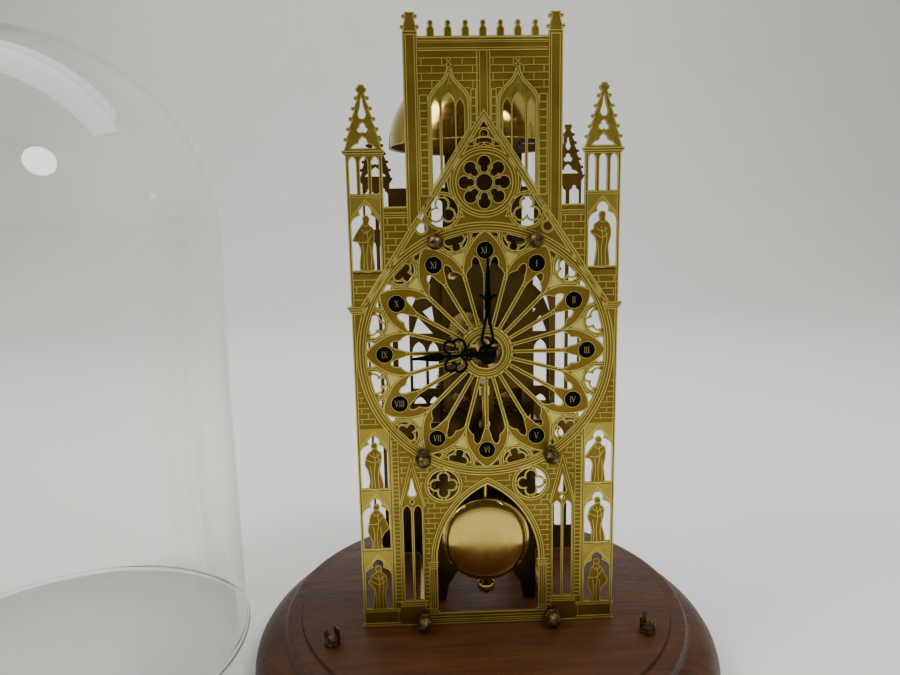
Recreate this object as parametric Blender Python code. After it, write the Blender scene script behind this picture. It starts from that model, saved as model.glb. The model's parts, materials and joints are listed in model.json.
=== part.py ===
"""A brass skeleton clock shaped like a cathedral front, on a round wooden base, with its glass dome beside it.

World frame: metres, +Z up, origin at the centre of the base on the surface it stands on, -Y is the dial side.
The drawing inside this script is in millimetres. Plates lie in (x, z) about the dial's centre, and depth runs
backwards from the front face of the facade plate.
"""

import math

import bmesh
import bpy
from mathutils import Vector

MM = 0.001

# The frame of the clock
DIAL_HEIGHT = 178.5
FACADE_Y = -31.0
BASE_TOP = -145.5
PLATE_FOOT = -145.2
FACADE_THICK = 1.2
FRONT_PLATE = (24.0, 25.5)
REAR_PLATE = (39.5, 41.0)
REAR_FACADE = (82.4, 83.6)
RATCHET = (84.4, 85.8)
GAP = 0.3

# Facade outline
HALF_WIDTH = 65.3
TOWER_HALF = 37.2
TOWER_TOP = 148.0
TURRET_INNER = 48.0
TURRET_AXIS = 56.8
TURRET_TOP = 96.5
SPIRE_APEX = 127.0
WALL_TOP = 71.0
MERLON_PITCH = 8.07

# Dial
HUB_R = 8.0
SPOKES_FROM_R = 13.4
SPOKE_HALF = 0.9
DIAL_OPEN_R = 58.6
MINUTE_ANGLE = -0.8
HOUR_ANGLE = 93.0

# Base and levelling screws
BASE_R = 127.5
DISC_R = 101.7
SCREW_TIP = 0.6
SLOT_TURN = {"left": -62.0, "right": 48.0, "rear": 20.0}
SCREW_PLACES = {"left": (-80.5, -44.0), "right": (80.5, -44.0), "rear": (0.0, 92.0)}

# Glass dome
DOME_X = -247.0
DOME_Y = 13.5
DOME_R = 104.6
DOME_WALL = 2.4
DOME_SPRING = 239.5

# Bell
BELL_X = 0.0
BELL_DEPTH = 51.0
BELL_RIM = 103.7
BELL_R = 47.0
BELL_RISE = 42.5
BELL_WALL = 1.3
HAMMER_DEPTH = 45.0

# Going train: centres in (x, z)
CENTRE = (0.0, 0.0)
BARREL = (0.0, -27.2)
THIRD = (15.09, -4.81)
ESCAPE = (10.3, -16.0)
SWING = (0.0, -16.0)
CLICK = (13.4, -20.4)
MOTION = (-8.49, 8.49)
HAMMER = (22.5, 35.5)
GREAT_TEETH = 72
CENTRE_TEETH = 80
THIRD_TEETH = 75
ESCAPE_TEETH = 48
ESCAPE_R = 7.3
HOUR_TEETH = 40
MOTION_TEETH = 36
CANNON_TEETH = 12
ARBOR_R = 0.9
ESCAPE_ARBOR_R = 0.5
PIVOT_R = 0.4

# Pendulum
PENDULUM_DEPTH = 14.0
BOB_Z = -104.0
BOB_R = 23.3
NUT_Z = -131.4

PILLARS = {"top_left": (-24.0, 54.6), "top_right": (24.0, 54.6), "mid_left": (-32.1, -52.8),
           "mid_right": (32.1, -52.8), "foot_left": (-33.5, -140.9), "foot_right": (33.5, -140.9)}
MOVEMENT_PILLARS = {"top_left": (-15.0, 36.0), "top_right": (21.6, 45.5), "low_left": (-25.5, -98.0),
                    "low_right": (25.5, -98.0)}


# ---------------------------------------------------------------- shapes in a plane

def polar(centre, radius, degrees):
    angle = math.radians(degrees)
    return (centre[0] + radius * math.cos(angle), centre[1] + radius * math.sin(angle))


def arc(centre, radius, start, end, steps):
    """Points from start to end in degrees, both included."""
    return [polar(centre, radius, start + (end - start) * i / steps) for i in range(steps + 1)]


def ring(centre, radius, sides, turn=0.0):
    return [polar(centre, radius, turn + 360.0 * i / sides) for i in range(sides)]


def box(x0, x1, z0, z1):
    return [(x0, z0), (x1, z0), (x1, z1), (x0, z1)]


def mirrored(shape):
    return [(-x, z) for x, z in reversed(shape)]


def both_sides(shapes):
    return shapes + [mirrored(shape) for shape in shapes]


def pointed(x0, x1, floor, spring, apex, steps=3):
    """An opening with upright sides and a pointed head of two arcs."""
    half = (x1 - x0) / 2
    rise = apex - spring
    radius = (half * half + rise * rise) / (2 * half)
    sweep = math.degrees(math.asin(min(1.0, rise / radius)))
    if rise > half:
        right = arc((x1 - radius, spring), radius, 0, sweep, steps)
        left = arc((x0 + radius, spring), radius, 180 - sweep, 180, steps)
    else:
        right = [(x1, spring), ((x0 + x1) / 2, apex)]
        left = [((x0 + x1) / 2, apex), (x0, spring)]
    return [(x0, floor), (x1, floor)] + right + left[1:]


def turned_about(shape, degrees, centre=(0.0, 0.0)):
    c, s = math.cos(math.radians(degrees)), math.sin(math.radians(degrees))
    return [(centre[0] + x * c - z * s, centre[1] + x * s + z * c) for x, z in shape]


def gear_outline(teeth, pitch_r, addendum, dedendum, phase, tip=0.22, root=0.30):
    """Straight-flanked teeth. tip and root are the widths of a tooth's tip and of the gap's floor, in pitches."""
    pitch = 360.0 / teeth
    points = []
    for i in range(teeth):
        at = phase + i * pitch
        points.append(polar((0, 0), pitch_r - dedendum, at - pitch * (1 - root) / 2))
        points.append(polar((0, 0), pitch_r + addendum, at - pitch * tip / 2))
        points.append(polar((0, 0), pitch_r + addendum, at + pitch * tip / 2))
        points.append(polar((0, 0), pitch_r - dedendum, at + pitch * (1 - root) / 2))
    return points


def pointed_teeth(teeth, pitch_r, addendum, dedendum, phase):
    """The outline of a fine wheel, with one point on each tooth's tip and one on each gap's floor."""
    pitch = 360.0 / teeth
    points = []
    for i in range(teeth):
        points.append(polar((0, 0), pitch_r + addendum, phase + i * pitch))
        points.append(polar((0, 0), pitch_r - dedendum, phase + (i + 0.5) * pitch))
    return points


def crossings(inner_r, outer_r, spokes, spoke_width, steps=3):
    """Windows between the spokes of a wheel."""
    windows = []
    for i in range(spokes):
        start = 360.0 * i / spokes
        end = start + 360.0 / spokes
        trim_out = math.degrees(math.asin(spoke_width / 2 / outer_r))
        trim_in = math.degrees(math.asin(spoke_width / 2 / inner_r))
        outer = arc((0, 0), outer_r, start + trim_out, end - trim_out, steps)
        inner = arc((0, 0), inner_r, end - trim_in, start + trim_in, 2)
        windows.append(outer + inner)
    return windows


# ---------------------------------------------------------------- solids

def place(x, depth, z):
    """World metres of a point given about the dial's centre."""
    return Vector((x, FACADE_Y + depth, DIAL_HEIGHT + z)) * MM


def new_object(name, mesh, material, origin):
    mesh.materials.clear()
    mesh.materials.append(material)
    obj = bpy.data.objects.new(name, mesh)
    obj.location = origin
    bpy.context.collection.objects.link(obj)
    return obj


def shade(obj, degrees=35.0):
    obj.data.shade_smooth()
    obj.data.set_sharp_from_angle(angle=math.radians(degrees))
    return obj


def plate(name, outline, holes, front, back, material, pivot=(0.0, 0.0)):
    """A flat piece between two depths, drawn about its pivot in (x, z)."""
    curve = bpy.data.curves.new(name, "CURVE")
    curve.dimensions = "2D"
    curve.fill_mode = "BOTH"
    curve.extrude = (back - front) / 2 * MM
    for shape in [outline] + holes:
        spline = curve.splines.new("POLY")
        spline.points.add(len(shape) - 1)
        for point, (x, z) in zip(spline.points, shape):
            point.co = (x * MM, z * MM, 0.0, 1.0)
        spline.use_cyclic_u = True
    flat = bpy.data.objects.new(name, curve)
    bpy.context.collection.objects.link(flat)
    graph = bpy.context.evaluated_depsgraph_get()
    mesh = bpy.data.meshes.new_from_object(flat.evaluated_get(graph))
    bpy.data.objects.remove(flat)
    work = bmesh.new()
    work.from_mesh(mesh)
    bmesh.ops.remove_doubles(work, verts=work.verts, dist=1e-7)
    for vert in work.verts:
        vert.co = Vector((vert.co.x, -vert.co.z, vert.co.y))
    bmesh.ops.recalc_face_normals(work, faces=work.faces)
    work.to_mesh(mesh)
    work.free()
    mesh.name = name
    return new_object(name, mesh, material, place(pivot[0], (front + back) / 2, pivot[1]))


def turned(name, profile, origin, material, axis="Y", sides=16, closed=False):
    """A piece turned about an axis through its origin. profile holds (radius, distance along the axis)."""
    work = bmesh.new()
    rings = []
    for radius, along in profile:
        if radius < 1e-6:
            spots = [(0.0, 0.0)]
        else:
            spots = ring((0.0, 0.0), radius, sides)
        row = []
        for a, b in spots:
            spot = (a, along, b) if axis == "Y" else (a, b, along)
            row.append(work.verts.new(Vector(spot) * MM))
        rings.append(row)
    pairs = list(zip(rings, rings[1:]))
    if closed:
        pairs.append((rings[-1], rings[0]))
    for first, second in pairs:
        for i in range(sides):
            corners = [first[i % len(first)], first[(i + 1) % len(first)],
                       second[(i + 1) % len(second)], second[i % len(second)]]
            distinct = list(dict.fromkeys(corners))
            if len(distinct) > 2:
                work.faces.new(distinct)
    for row in (rings[0], rings[-1]):
        if not closed and len(row) > 1:
            work.faces.new(row)
    bmesh.ops.recalc_face_normals(work, faces=work.faces)
    mesh = bpy.data.meshes.new(name)
    work.to_mesh(mesh)
    work.free()
    return shade(new_object(name, mesh, material, origin))


def block(name, x, depth, z, material):
    """A square-edged piece. x, depth and z are pairs of limits."""
    middle = [(low + high) / 2 for low, high in (x, depth, z)]
    work = bmesh.new()
    bmesh.ops.create_cube(work, size=1.0)
    size = [high - low for low, high in (x, depth, z)]
    bmesh.ops.scale(work, verts=work.verts, vec=Vector(size) * MM)
    mesh = bpy.data.meshes.new(name)
    work.to_mesh(mesh)
    work.free()
    return new_object(name, mesh, material, place(*middle))


def prism(name, outline, half, material, origin):
    """An upright prism on a drawing in (x, y)."""
    work = bmesh.new()
    low = [work.verts.new(Vector((x, y, -half)) * MM) for x, y in outline]
    high = [work.verts.new(Vector((x, y, half)) * MM) for x, y in outline]
    work.faces.new(low)
    work.faces.new(high)
    for i in range(len(outline)):
        j = (i + 1) % len(outline)
        work.faces.new([low[i], low[j], high[j], high[i]])
    bmesh.ops.recalc_face_normals(work, faces=work.faces)
    mesh = bpy.data.meshes.new(name)
    work.to_mesh(mesh)
    work.free()
    return new_object(name, mesh, material, origin)


def clean(mesh):
    """Merges points that coincide and drops the needles between them."""
    work = bmesh.new()
    work.from_mesh(mesh)
    bmesh.ops.remove_doubles(work, verts=work.verts, dist=2e-6)
    bmesh.ops.dissolve_degenerate(work, edges=work.edges, dist=2e-6)
    bmesh.ops.triangulate(work, faces=work.faces)
    work.to_mesh(mesh)
    work.free()


def joined(name, pieces, material, origin):
    """One body from overlapping pieces, with its origin where the joint's axis is."""
    base = pieces[0]
    for other in pieces[1:]:
        union = base.modifiers.new("join", "BOOLEAN")
        union.operation = "UNION"
        union.object = other
    graph = bpy.context.evaluated_depsgraph_get()
    mesh = bpy.data.meshes.new_from_object(base.evaluated_get(graph))
    mesh.transform(base.matrix_world)
    for piece in pieces:
        bpy.data.objects.remove(piece)
    clean(mesh)
    shift = Vector(origin)
    for vert in mesh.vertices:
        vert.co -= shift
    mesh.name = name
    return shade(new_object(name, mesh, material, shift))


def arbor(name, centre, front, back, material, radius=ARBOR_R, sides=8):
    """A plain shaft with thin pivots at both ends."""
    pivot = 1.5
    profile = [(0.0, front - pivot), (PIVOT_R, front - pivot), (PIVOT_R, front), (radius, front),
               (radius, back), (PIVOT_R, back), (PIVOT_R, back + pivot), (0.0, back + pivot)]
    return turned(name, profile, place(centre[0], 0.0, centre[1]), material, sides=sides)


def rod(name, centre, front, back, radius, material, sides=12):
    profile = [(0.0, front), (radius, front), (radius, back), (0.0, back)]
    return turned(name, profile, place(centre[0], 0.0, centre[1]), material, sides=sides)


# ---------------------------------------------------------------- materials

def finish(name, colour, roughness, metallic, alpha=1.0):
    material = bpy.data.materials.new(name)
    material.use_nodes = True
    shader = material.node_tree.nodes["Principled BSDF"]
    shader.inputs["Base Color"].default_value = (*colour, 1.0)
    shader.inputs["Roughness"].default_value = roughness
    shader.inputs["Metallic"].default_value = metallic
    shader.inputs["Alpha"].default_value = alpha
    material.diffuse_color = (*colour, alpha)
    return material


def etched_brass():
    return finish("etched_brass", (0.55, 0.42, 0.12), 0.42, 1.0)


def dark_brass():
    return finish("dark_brass", (0.30, 0.20, 0.07), 0.45, 1.0)


def polished_brass():
    return finish("polished_brass", (0.78, 0.60, 0.25), 0.15, 1.0)


def cut_brass():
    return finish("cut_brass", (0.62, 0.48, 0.20), 0.30, 1.0)


def steel():
    return finish("steel", (0.45, 0.45, 0.46), 0.30, 1.0)


def black_lacquer():
    return finish("black_lacquer", (0.01, 0.01, 0.012), 0.30, 0.0)


def mahogany():
    return finish("mahogany", (0.12, 0.035, 0.02), 0.35, 0.0)


def clear_glass():
    return finish("clear_glass", (0.85, 0.92, 0.89), 0.02, 0.0, 0.25)


# ---------------------------------------------------------------- plates

def merlons(first, count, pitch, half, foot, top):
    """Teeth of a parapet from right to left, as points of an outline."""
    points = []
    for i in range(count):
        x = first - i * pitch
        points += [(x + half, foot), (x + half, top), (x - half, top), (x - half, foot)]
    return points


def facade_outline():
    """The right half runs up from the foot, the left half mirrors it."""
    right = [(HALF_WIDTH, PLATE_FOOT), (HALF_WIDTH, 20.5), (67.3, 22.5), (67.3, 24.0), (65.6, 24.8),
             (65.6, 94.8), (67.0, 96.2), (66.5, 97.5), (65.8, 97.5), (TURRET_AXIS + 1.2, 122.5),
             (TURRET_AXIS + 1.8, 125.0), (TURRET_AXIS, SPIRE_APEX), (TURRET_AXIS - 1.8, 125.0),
             (TURRET_AXIS - 1.2, 122.5), (47.8, 97.5), (46.9, 97.0), (46.9, 96.0), (TURRET_INNER, 94.8),
             (TURRET_INNER, WALL_TOP), (TOWER_HALF, WALL_TOP), (TOWER_HALF, 150.5), (36.0, 152.0),
             (36.2, 156.0), (33.7, 158.4), (31.2, 156.0), (31.4, 152.0), (30.2, 150.5), (30.2, TOWER_TOP)]
    parapet = merlons(3 * MERLON_PITCH, 7, MERLON_PITCH, 1.6, TOWER_TOP, 153.6)
    return right + parapet + mirrored(right)


def niche(floor, height):
    """A trefoil-headed recess between the bars of a turret."""
    x0, x1 = 50.4, 63.6
    middle = (x0 + x1) / 2
    shoulder = floor + height * 0.78
    return [(x0, floor), (x1, floor), (x1, shoulder), (middle + 3.0, shoulder + 2.2), (middle + 2.2, floor + height),
            (middle - 2.2, floor + height), (middle - 3.0, shoulder + 2.2), (x0, shoulder)]


def dial_openings():
    """Twenty-four slits between the spokes, each ending in a leaf, and twelve foils near the dial ring."""
    shapes = []
    foil = [(-6.2, 57.8), (-5.6, 53.6), (-2.4, 50.8), (2.4, 50.8), (5.6, 53.6), (6.2, 57.8), (0.0, DIAL_OPEN_R)]
    edge_x = SPOKE_HALF
    slit = [(edge_x, SPOKES_FROM_R), (edge_x, 38.5), polar((0, 0), 46.3, 90 - 6.6), polar((0, 0), 43.0, 90 - 9.4)]
    spoke = turned_about([(-edge_x, 37.2), (-edge_x, SPOKES_FROM_R + 0.1)], -15.0)
    slit = slit + spoke
    for hour in range(12):
        shapes.append(turned_about(slit, -30.0 * hour))
        shapes.append(turned_about(mirrored(slit), -30.0 * hour))
        shapes.append(turned_about(foil, -30.0 * hour - 15.0))
    return shapes


def tower_windows():
    side = [pointed(8.9, 11.9, 100.5, 117.5, 120.5, 2), pointed(13.0, 19.0, 92.5, 118.5, 124.0, 3),
            pointed(20.1, 23.6, 85.5, 117.5, 120.5, 2)]
    slope = 1.505
    cut = []
    for shape in side:
        low_left = 115.5 - slope * shape[0][0] + 3.8
        low_right = 115.5 - slope * shape[1][0] + 3.8
        cut.append([(shape[0][0], low_left), (shape[1][0], low_right)] + shape[2:])
    return both_sides(cut)


def facade_openings():
    """Everything pierced through the facade except the dial."""
    shapes = [ring(polar((0.0, 82.0), 9.2, 45.0 * i), 3.2, 8) for i in range(8)]
    shapes.append(ring((0.0, 82.0), 3.6, 8))
    shapes.append([(-3.2, 100.2), (3.2, 100.2), (0.0, 105.6)])
    shapes += both_sides([ring((20.5, 69.5), 5.6, 10), ring((30.5, 61.0), 2.2, 6), ring((22.3, -68.3), 7.0, 12, 15.0)])
    shapes += tower_windows()
    shapes += both_sides([niche(41.5, 30.5), niche(-69.0, 27.5), niche(-101.5, 27.0), niche(-135.0, 27.5)])
    shapes += both_sides([pointed(49.9, 53.0, 77.4, 91.5, 94.2, 2), pointed(55.1, 58.6, 77.4, 91.5, 94.2, 2),
                          pointed(60.6, 63.7, 77.4, 91.5, 94.2, 2)])
    shapes += both_sides([[(TURRET_AXIS - 4.6, 99.0), (TURRET_AXIS + 4.6, 99.0), (TURRET_AXIS, 111.5)],
                          [(TURRET_AXIS - 1.5, 113.0), (TURRET_AXIS + 1.5, 113.0), (TURRET_AXIS, 118.5)]])
    shapes += both_sides([pointed(33.6, 37.8, -131.0, -82.5, -79.5, 2), pointed(39.2, 43.4, -131.0, -82.5, -79.5, 2)])
    shapes += both_sides([[(36.4, -73.5), (40.2, -73.5), (38.3, -65.5)]])
    shapes.append(pointed(-26.0, 26.0, -138.6, -110.0, -68.5, 6))
    return shapes


def facade(material):
    openings = facade_openings() + dial_openings() + [ring(CENTRE, HUB_R, 20)]
    openings += [ring(spot, 1.9, 8) for spot in PILLARS.values()]
    return plate("facade_plate", facade_outline(), openings, 0.0, FACADE_THICK, material)


def rear_outline():
    """Low wall between two turrets, each with a spire."""
    spire = [(58.1, 115.5), (59.0, 117.0), (59.0, 118.8), (54.7, 118.8), (54.7, 117.0), (55.6, 115.5)]
    right = [(64.8, PLATE_FOOT), (64.8, 86.3), (66.6, 89.2), (66.6, 90.0), (65.8, 90.0)] + spire
    right += [(47.9, 90.0), (46.9, 90.0), (46.9, 89.2), (48.8, 86.3), (48.8, 83.8)]
    return right + mirrored(right)


def rear_windows():
    """The openings on the right half of the rear facade plate."""
    great = [(22.0, -47.0), (46.5, -47.0), (46.5, 4.0)] + arc((0.0, 4.0), 46.5, 4.0, 60.0, 6) + [(22.0, 43.0)]
    shapes = [great, pointed(18.0, 24.4, 60.5, 73.0, 78.6, 2), pointed(29.0, 36.6, 56.5, 73.0, 78.6, 2),
              pointed(38.0, 45.2, -108.0, -92.0, -85.0, 2)]
    for x0, x1 in ((49.9, 55.6), (57.8, 63.5)):
        shapes += [pointed(x0, x1, 60.0, 77.5, 83.0, 2), pointed(x0, x1, -58.0, 49.0, 55.0, 2),
                   pointed(x0, x1, -130.0, -70.0, -64.0, 2)]
    axis = 56.7
    shapes.append([(axis - 6.2, 91.4), (axis + 6.2, 91.4), (axis, 96.2)])
    shapes.append(ring((axis, 99.4), 2.2, 6, 30.0))
    shapes.append([(axis - 1.5, 104.4), (axis + 1.5, 104.4), (axis, 110.6)])
    return shapes


def rear_facade(material):
    """A plainer etched plate of the same style that closes the back of the frame."""
    holes = [pointed(-20.0, 20.0, -138.0, -95.0, -66.0, 5)] + both_sides(rear_windows())
    holes += [ring(spot, 1.9, 8) for spot in PILLARS.values()]
    holes += [ring(spot, 1.6, 8) for spot in MOVEMENT_PILLARS.values()]
    holes.append(ring(BARREL, 2.7, 12))
    return plate("rear_facade_plate", rear_outline(), holes, *REAR_FACADE, material)


def pivot_holes(spots, radius=0.65):
    return [ring(spot, radius, 8) for spot in spots]


def front_movement_plate(material):
    outline = [(-28.5, PLATE_FOOT), (-21.8, PLATE_FOOT), (-20.0, -136.0), (-15.0, -128.0), (-8.0, -123.0),
               (8.0, -123.0), (15.0, -128.0), (20.0, -136.0), (21.8, PLATE_FOOT), (28.5, PLATE_FOOT),
               (28.5, -92.0), (24.0, -60.0), (24.0, -42.0), (27.0, -36.0), (27.0, 49.0), (16.0, 49.0),
               (12.0, 42.0), (-20.5, 42.0), (-20.5, -42.0), (-24.0, -60.0), (-28.5, -92.0)]
    holes = [box(-17.0, -6.0, -38.0, -9.0), box(6.0, 21.0, -38.0, -24.5), ring(CENTRE, 2.2, 10), ring(SWING, 1.3, 8),
             [(-16.0, -116.0), (16.0, -116.0), (14.0, -90.0), (-14.0, -90.0)]]
    holes += pivot_holes([THIRD, ESCAPE, HAMMER])
    holes += [ring(spot, 1.6, 8) for spot in MOVEMENT_PILLARS.values()]
    return plate("front_movement_plate", outline, holes, *FRONT_PLATE, material)


def rear_movement_plate(material):
    """Rear bearing plate, with a wing of window tracery on each side."""
    wing = [(20.5, -36.0), (20.5, -48.7), (38.6, -48.7), (38.6, 14.0), (34.0, 25.0), (27.0, 32.0)]
    outline = [(-8.0, -33.0), (8.0, -33.0), (14.0, -30.0)] + wing + [(27.0, 49.6), (19.8, 50.4), (19.8, 60.5),
                                                                            (23.4, 64.0), (23.4, 99.0)]
    outline += [(-17.6, 99.0), (-17.6, 60.0), (-20.5, 50.0)] + mirrored(wing) + [(-14.0, -30.0)]
    lights = [pointed(22.9, 28.2, -46.8, -36.5, -31.8, 3), pointed(29.9, 37.0, -46.8, -37.0, -31.8, 3),
              pointed(22.9, 28.2, -27.2, -6.0, -1.2, 3), pointed(29.9, 37.0, -27.2, -6.4, -0.9, 3),
              [(25.6, 3.6), (36.8, 3.6), (33.6, 12.6)], [(24.6, 8.4), (31.0, 15.8), (26.0, 18.6)]]
    holes = [ring(CENTRE, 1.3, 8), box(-14.0, -4.0, 8.0, 30.0), box(2.0, 16.0, 8.0, 30.0)] + both_sides(lights)
    holes.append(pointed(-5.0, 11.0, 49.0, 60.0, 68.5, 3))
    holes += pivot_holes([THIRD, ESCAPE, HAMMER, SWING, BARREL], 0.75)
    holes += [ring(MOVEMENT_PILLARS[name], 2.0, 8) for name in ("top_left", "top_right")]
    return plate("rear_movement_plate", outline, holes, *REAR_PLATE, material)


# ---------------------------------------------------------------- frame fittings

def frame_pillar(name, spot, material):
    """Spacer between the two facade plates, with a threaded end in front and a hex head behind."""
    shank, neck, head = 3.0, 1.5, 3.4
    front, back = FACADE_THICK + GAP, REAR_FACADE[0] - GAP
    body = [(0.0, -3.0), (neck, -3.0), (neck, front), (shank, front), (shank, back), (neck, back),
            (neck, REAR_FACADE[1] + GAP), (head, REAR_FACADE[1] + GAP), (head, REAR_FACADE[1] + 2.6),
            (0.0, REAR_FACADE[1] + 2.6)]
    if "foot" in name:
        body = [(r if r < 2.9 else 3.0, along) for r, along in body]
    return turned("pillar_" + name, body, place(spot[0], 0.0, spot[1]), material, sides=8)


def acorn_nut(name, spot, material):
    """Hex nut with a domed cap, screwed on the pillar's front end."""
    bore, base_r = 1.8, 3.9
    profile = [(bore, -0.3), (base_r, -0.3), (base_r, -3.2), (3.4, -3.6), (3.95, -5.4), (3.5, -8.0), (1.9, -9.8),
               (0.0, -10.5), (0.0, -3.4), (bore, -3.4)]
    return turned("acorn_nut_" + name, profile, place(spot[0], 0.0, spot[1]), material, sides=10, closed=True)


def movement_pillar(name, spot, material):
    """Holds the movement plates apart and ties them to the rear facade plate. Round nut in front."""
    front, back = FRONT_PLATE[1] + GAP, REAR_PLATE[0] - GAP
    neck, shank = 1.3, 2.4
    if "low" in name:
        back = REAR_FACADE[0] - GAP
    profile = [(0.0, 21.2), (1.6, 21.6), (2.6, 23.0), (2.6, FRONT_PLATE[0] - GAP), (neck, FRONT_PLATE[0] - GAP),
               (neck, front), (shank, front), (shank, back), (neck, back)]
    if "top" in name:
        profile += [(neck, REAR_PLATE[1] + GAP), (shank, REAR_PLATE[1] + GAP), (shank, REAR_FACADE[0] - GAP),
                    (neck, REAR_FACADE[0] - GAP)]
    profile += [(neck, REAR_FACADE[1] + 1.6), (0.0, REAR_FACADE[1] + 1.6)]
    return turned("movement_pillar_" + name, profile, place(spot[0], 0.0, spot[1]), material, sides=8)


# ---------------------------------------------------------------- base and dome

def wooden_base(material):
    """Turned plinth with a raised disc, a step for the dome and a bold lower moulding."""
    top = DIAL_HEIGHT + BASE_TOP
    outer = [(0.0, top), (DISC_R, top), (DISC_R + 0.5, top - 2.0), (109.0, top - 2.0), (110.6, top - 5.0),
             (111.0, top - 8.0), (114.5, top - 10.0), (120.0, top - 12.5), (125.5, top - 18.0), (BASE_R, top - 24.5),
             (126.4, 3.4), (123.0, 0.0), (0.0, 0.0)]
    body = turned("wooden_base", outer, Vector((0, 0, 0)), material, "Z", 44)
    for name, (x, y) in SCREW_PLACES.items():
        bore = [(0.0, -1.0), (3.0, -1.0), (3.0, top + 2.0), (0.0, top + 2.0)]
        cutter = turned("bore_" + name, bore, Vector((x, y, 0)) * MM, material, "Z", 10)
        cutter.hide_render = True
        cutter.display_type = "WIRE"
        cut = body.modifiers.new("bore_" + name, "BOOLEAN")
        cut.operation = "DIFFERENCE"
        cut.object = cutter
    return body


def levelling_screw(name, x, y, material):
    """A threaded shank through the base, drawn up clear of the table, with a wide slot across its head."""
    top = DIAL_HEIGHT + BASE_TOP
    profile = [(0.0, SCREW_TIP), (1.0, SCREW_TIP), (2.4, SCREW_TIP + 2.0), (2.4, top + GAP),
               (4.1, top + GAP), (4.1, top + 8.6), (0.0, top + 8.6)]
    screw = turned("levelling_screw_" + name, profile, Vector((x, y, 0)) * MM, material, "Z", 12)
    slot = turned_about(box(-6.0, 6.0, -2.3, 2.3), SLOT_TURN[name])
    cutter = prism("slots_" + name, slot, 3.6, material, Vector((x, y, top + 7.4)) * MM)
    cutter.hide_render = True
    cutter.display_type = "WIRE"
    cut = screw.modifiers.new("slots", "BOOLEAN")
    cut.operation = "DIFFERENCE"
    cut.object = cutter
    return screw


def glass_dome(material):
    """Straight wall, round top, and a rolled bead at the open foot."""
    inner_r = DOME_R - DOME_WALL
    steps = 6
    bead = [(inner_r, 0.6), (inner_r + 1.2, 0.0), (DOME_R + 1.2, 0.3), (DOME_R + 1.9, 1.8), (DOME_R + 1.2, 3.4),
            (DOME_R, 4.4)]
    outer = [(DOME_R * math.cos(a), DOME_SPRING + DOME_R * math.sin(a))
             for a in (math.pi / 2 * i / steps for i in range(steps))]
    inner = [(inner_r * math.cos(a), DOME_SPRING + inner_r * math.sin(a))
             for a in (math.pi / 2 * i / steps for i in range(steps))]
    profile = bead + outer + [(0.0, DOME_SPRING + DOME_R)]
    work = profile + [(0.0, DOME_SPRING + inner_r)] + list(reversed(inner))
    return turned_shell("glass_dome", work, Vector((DOME_X, DOME_Y, 0.0)) * MM, material, 32)


def turned_shell(name, profile, origin, material, sides):
    """A turned cup: its profile touches the axis twice, outside and inside, and closes on itself."""
    return turned(name, profile, origin, material, "Z", sides, closed=True)


# ---------------------------------------------------------------- bell and hammer

def bell(material):
    inner_r, inner_rise = BELL_R - BELL_WALL, BELL_RISE - BELL_WALL
    steps = 5
    angles = [math.radians(82.0) * i / steps for i in range(steps + 1)]
    outer = [(BELL_R * math.cos(a), BELL_RISE * math.sin(a)) for a in angles]
    inner = [(inner_r * math.cos(a), inner_rise * math.sin(a)) for a in reversed(angles)]
    outer[-1] = (2.9, outer[-1][1])
    inner[0] = (2.9, inner[0][1])
    profile = [(BELL_R + 0.2, -0.6)] + outer + inner + [(inner_r, -0.6)]
    origin = place(BELL_X, BELL_DEPTH, BELL_RIM)
    return turned("bell", profile, origin, material, "Z", 28, closed=True)


def bell_stand(material):
    """Bracket on the rear facade plate and an upright post with a shoulder under the bell."""
    crown = BELL_RISE * math.sin(math.radians(82.0))
    foot = -23.0
    post = turned("post", [(0.0, foot), (2.2, foot), (2.2, crown - 2.4), (4.0, crown - 2.4), (4.0, crown - 1.7),
                           (2.2, crown - 1.7), (2.2, crown + 3.0), (0.0, crown + 3.0)],
                  place(BELL_X, BELL_DEPTH, BELL_RIM), material, "Z", 12)
    arm = block("arm", (BELL_X - 3.5, BELL_X + 3.5), (BELL_DEPTH - 3.5, REAR_FACADE[0] - GAP), (78.2, 81.6), material)
    flange = block("flange", (BELL_X - 6.0, BELL_X + 6.0), (REAR_FACADE[0] - 2.3, REAR_FACADE[0] - GAP), (75.0, 83.4), material)
    return joined("bell_stand", [post, arm, flange], material, place(BELL_X, BELL_DEPTH, 80.0))


def bell_nut(material):
    crown = BELL_RISE * math.sin(math.radians(82.0))
    profile = [(2.5, 0.4), (4.6, 0.4), (4.6, 2.4), (3.6, 3.0), (3.8, 4.4), (2.4, 6.0), (0.0, 6.6), (0.0, 3.4), (2.5, 3.4)]
    origin = place(BELL_X, BELL_DEPTH, BELL_RIM + crown)
    return turned("bell_nut", profile, origin, material, "Z", 12, closed=True)


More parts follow.
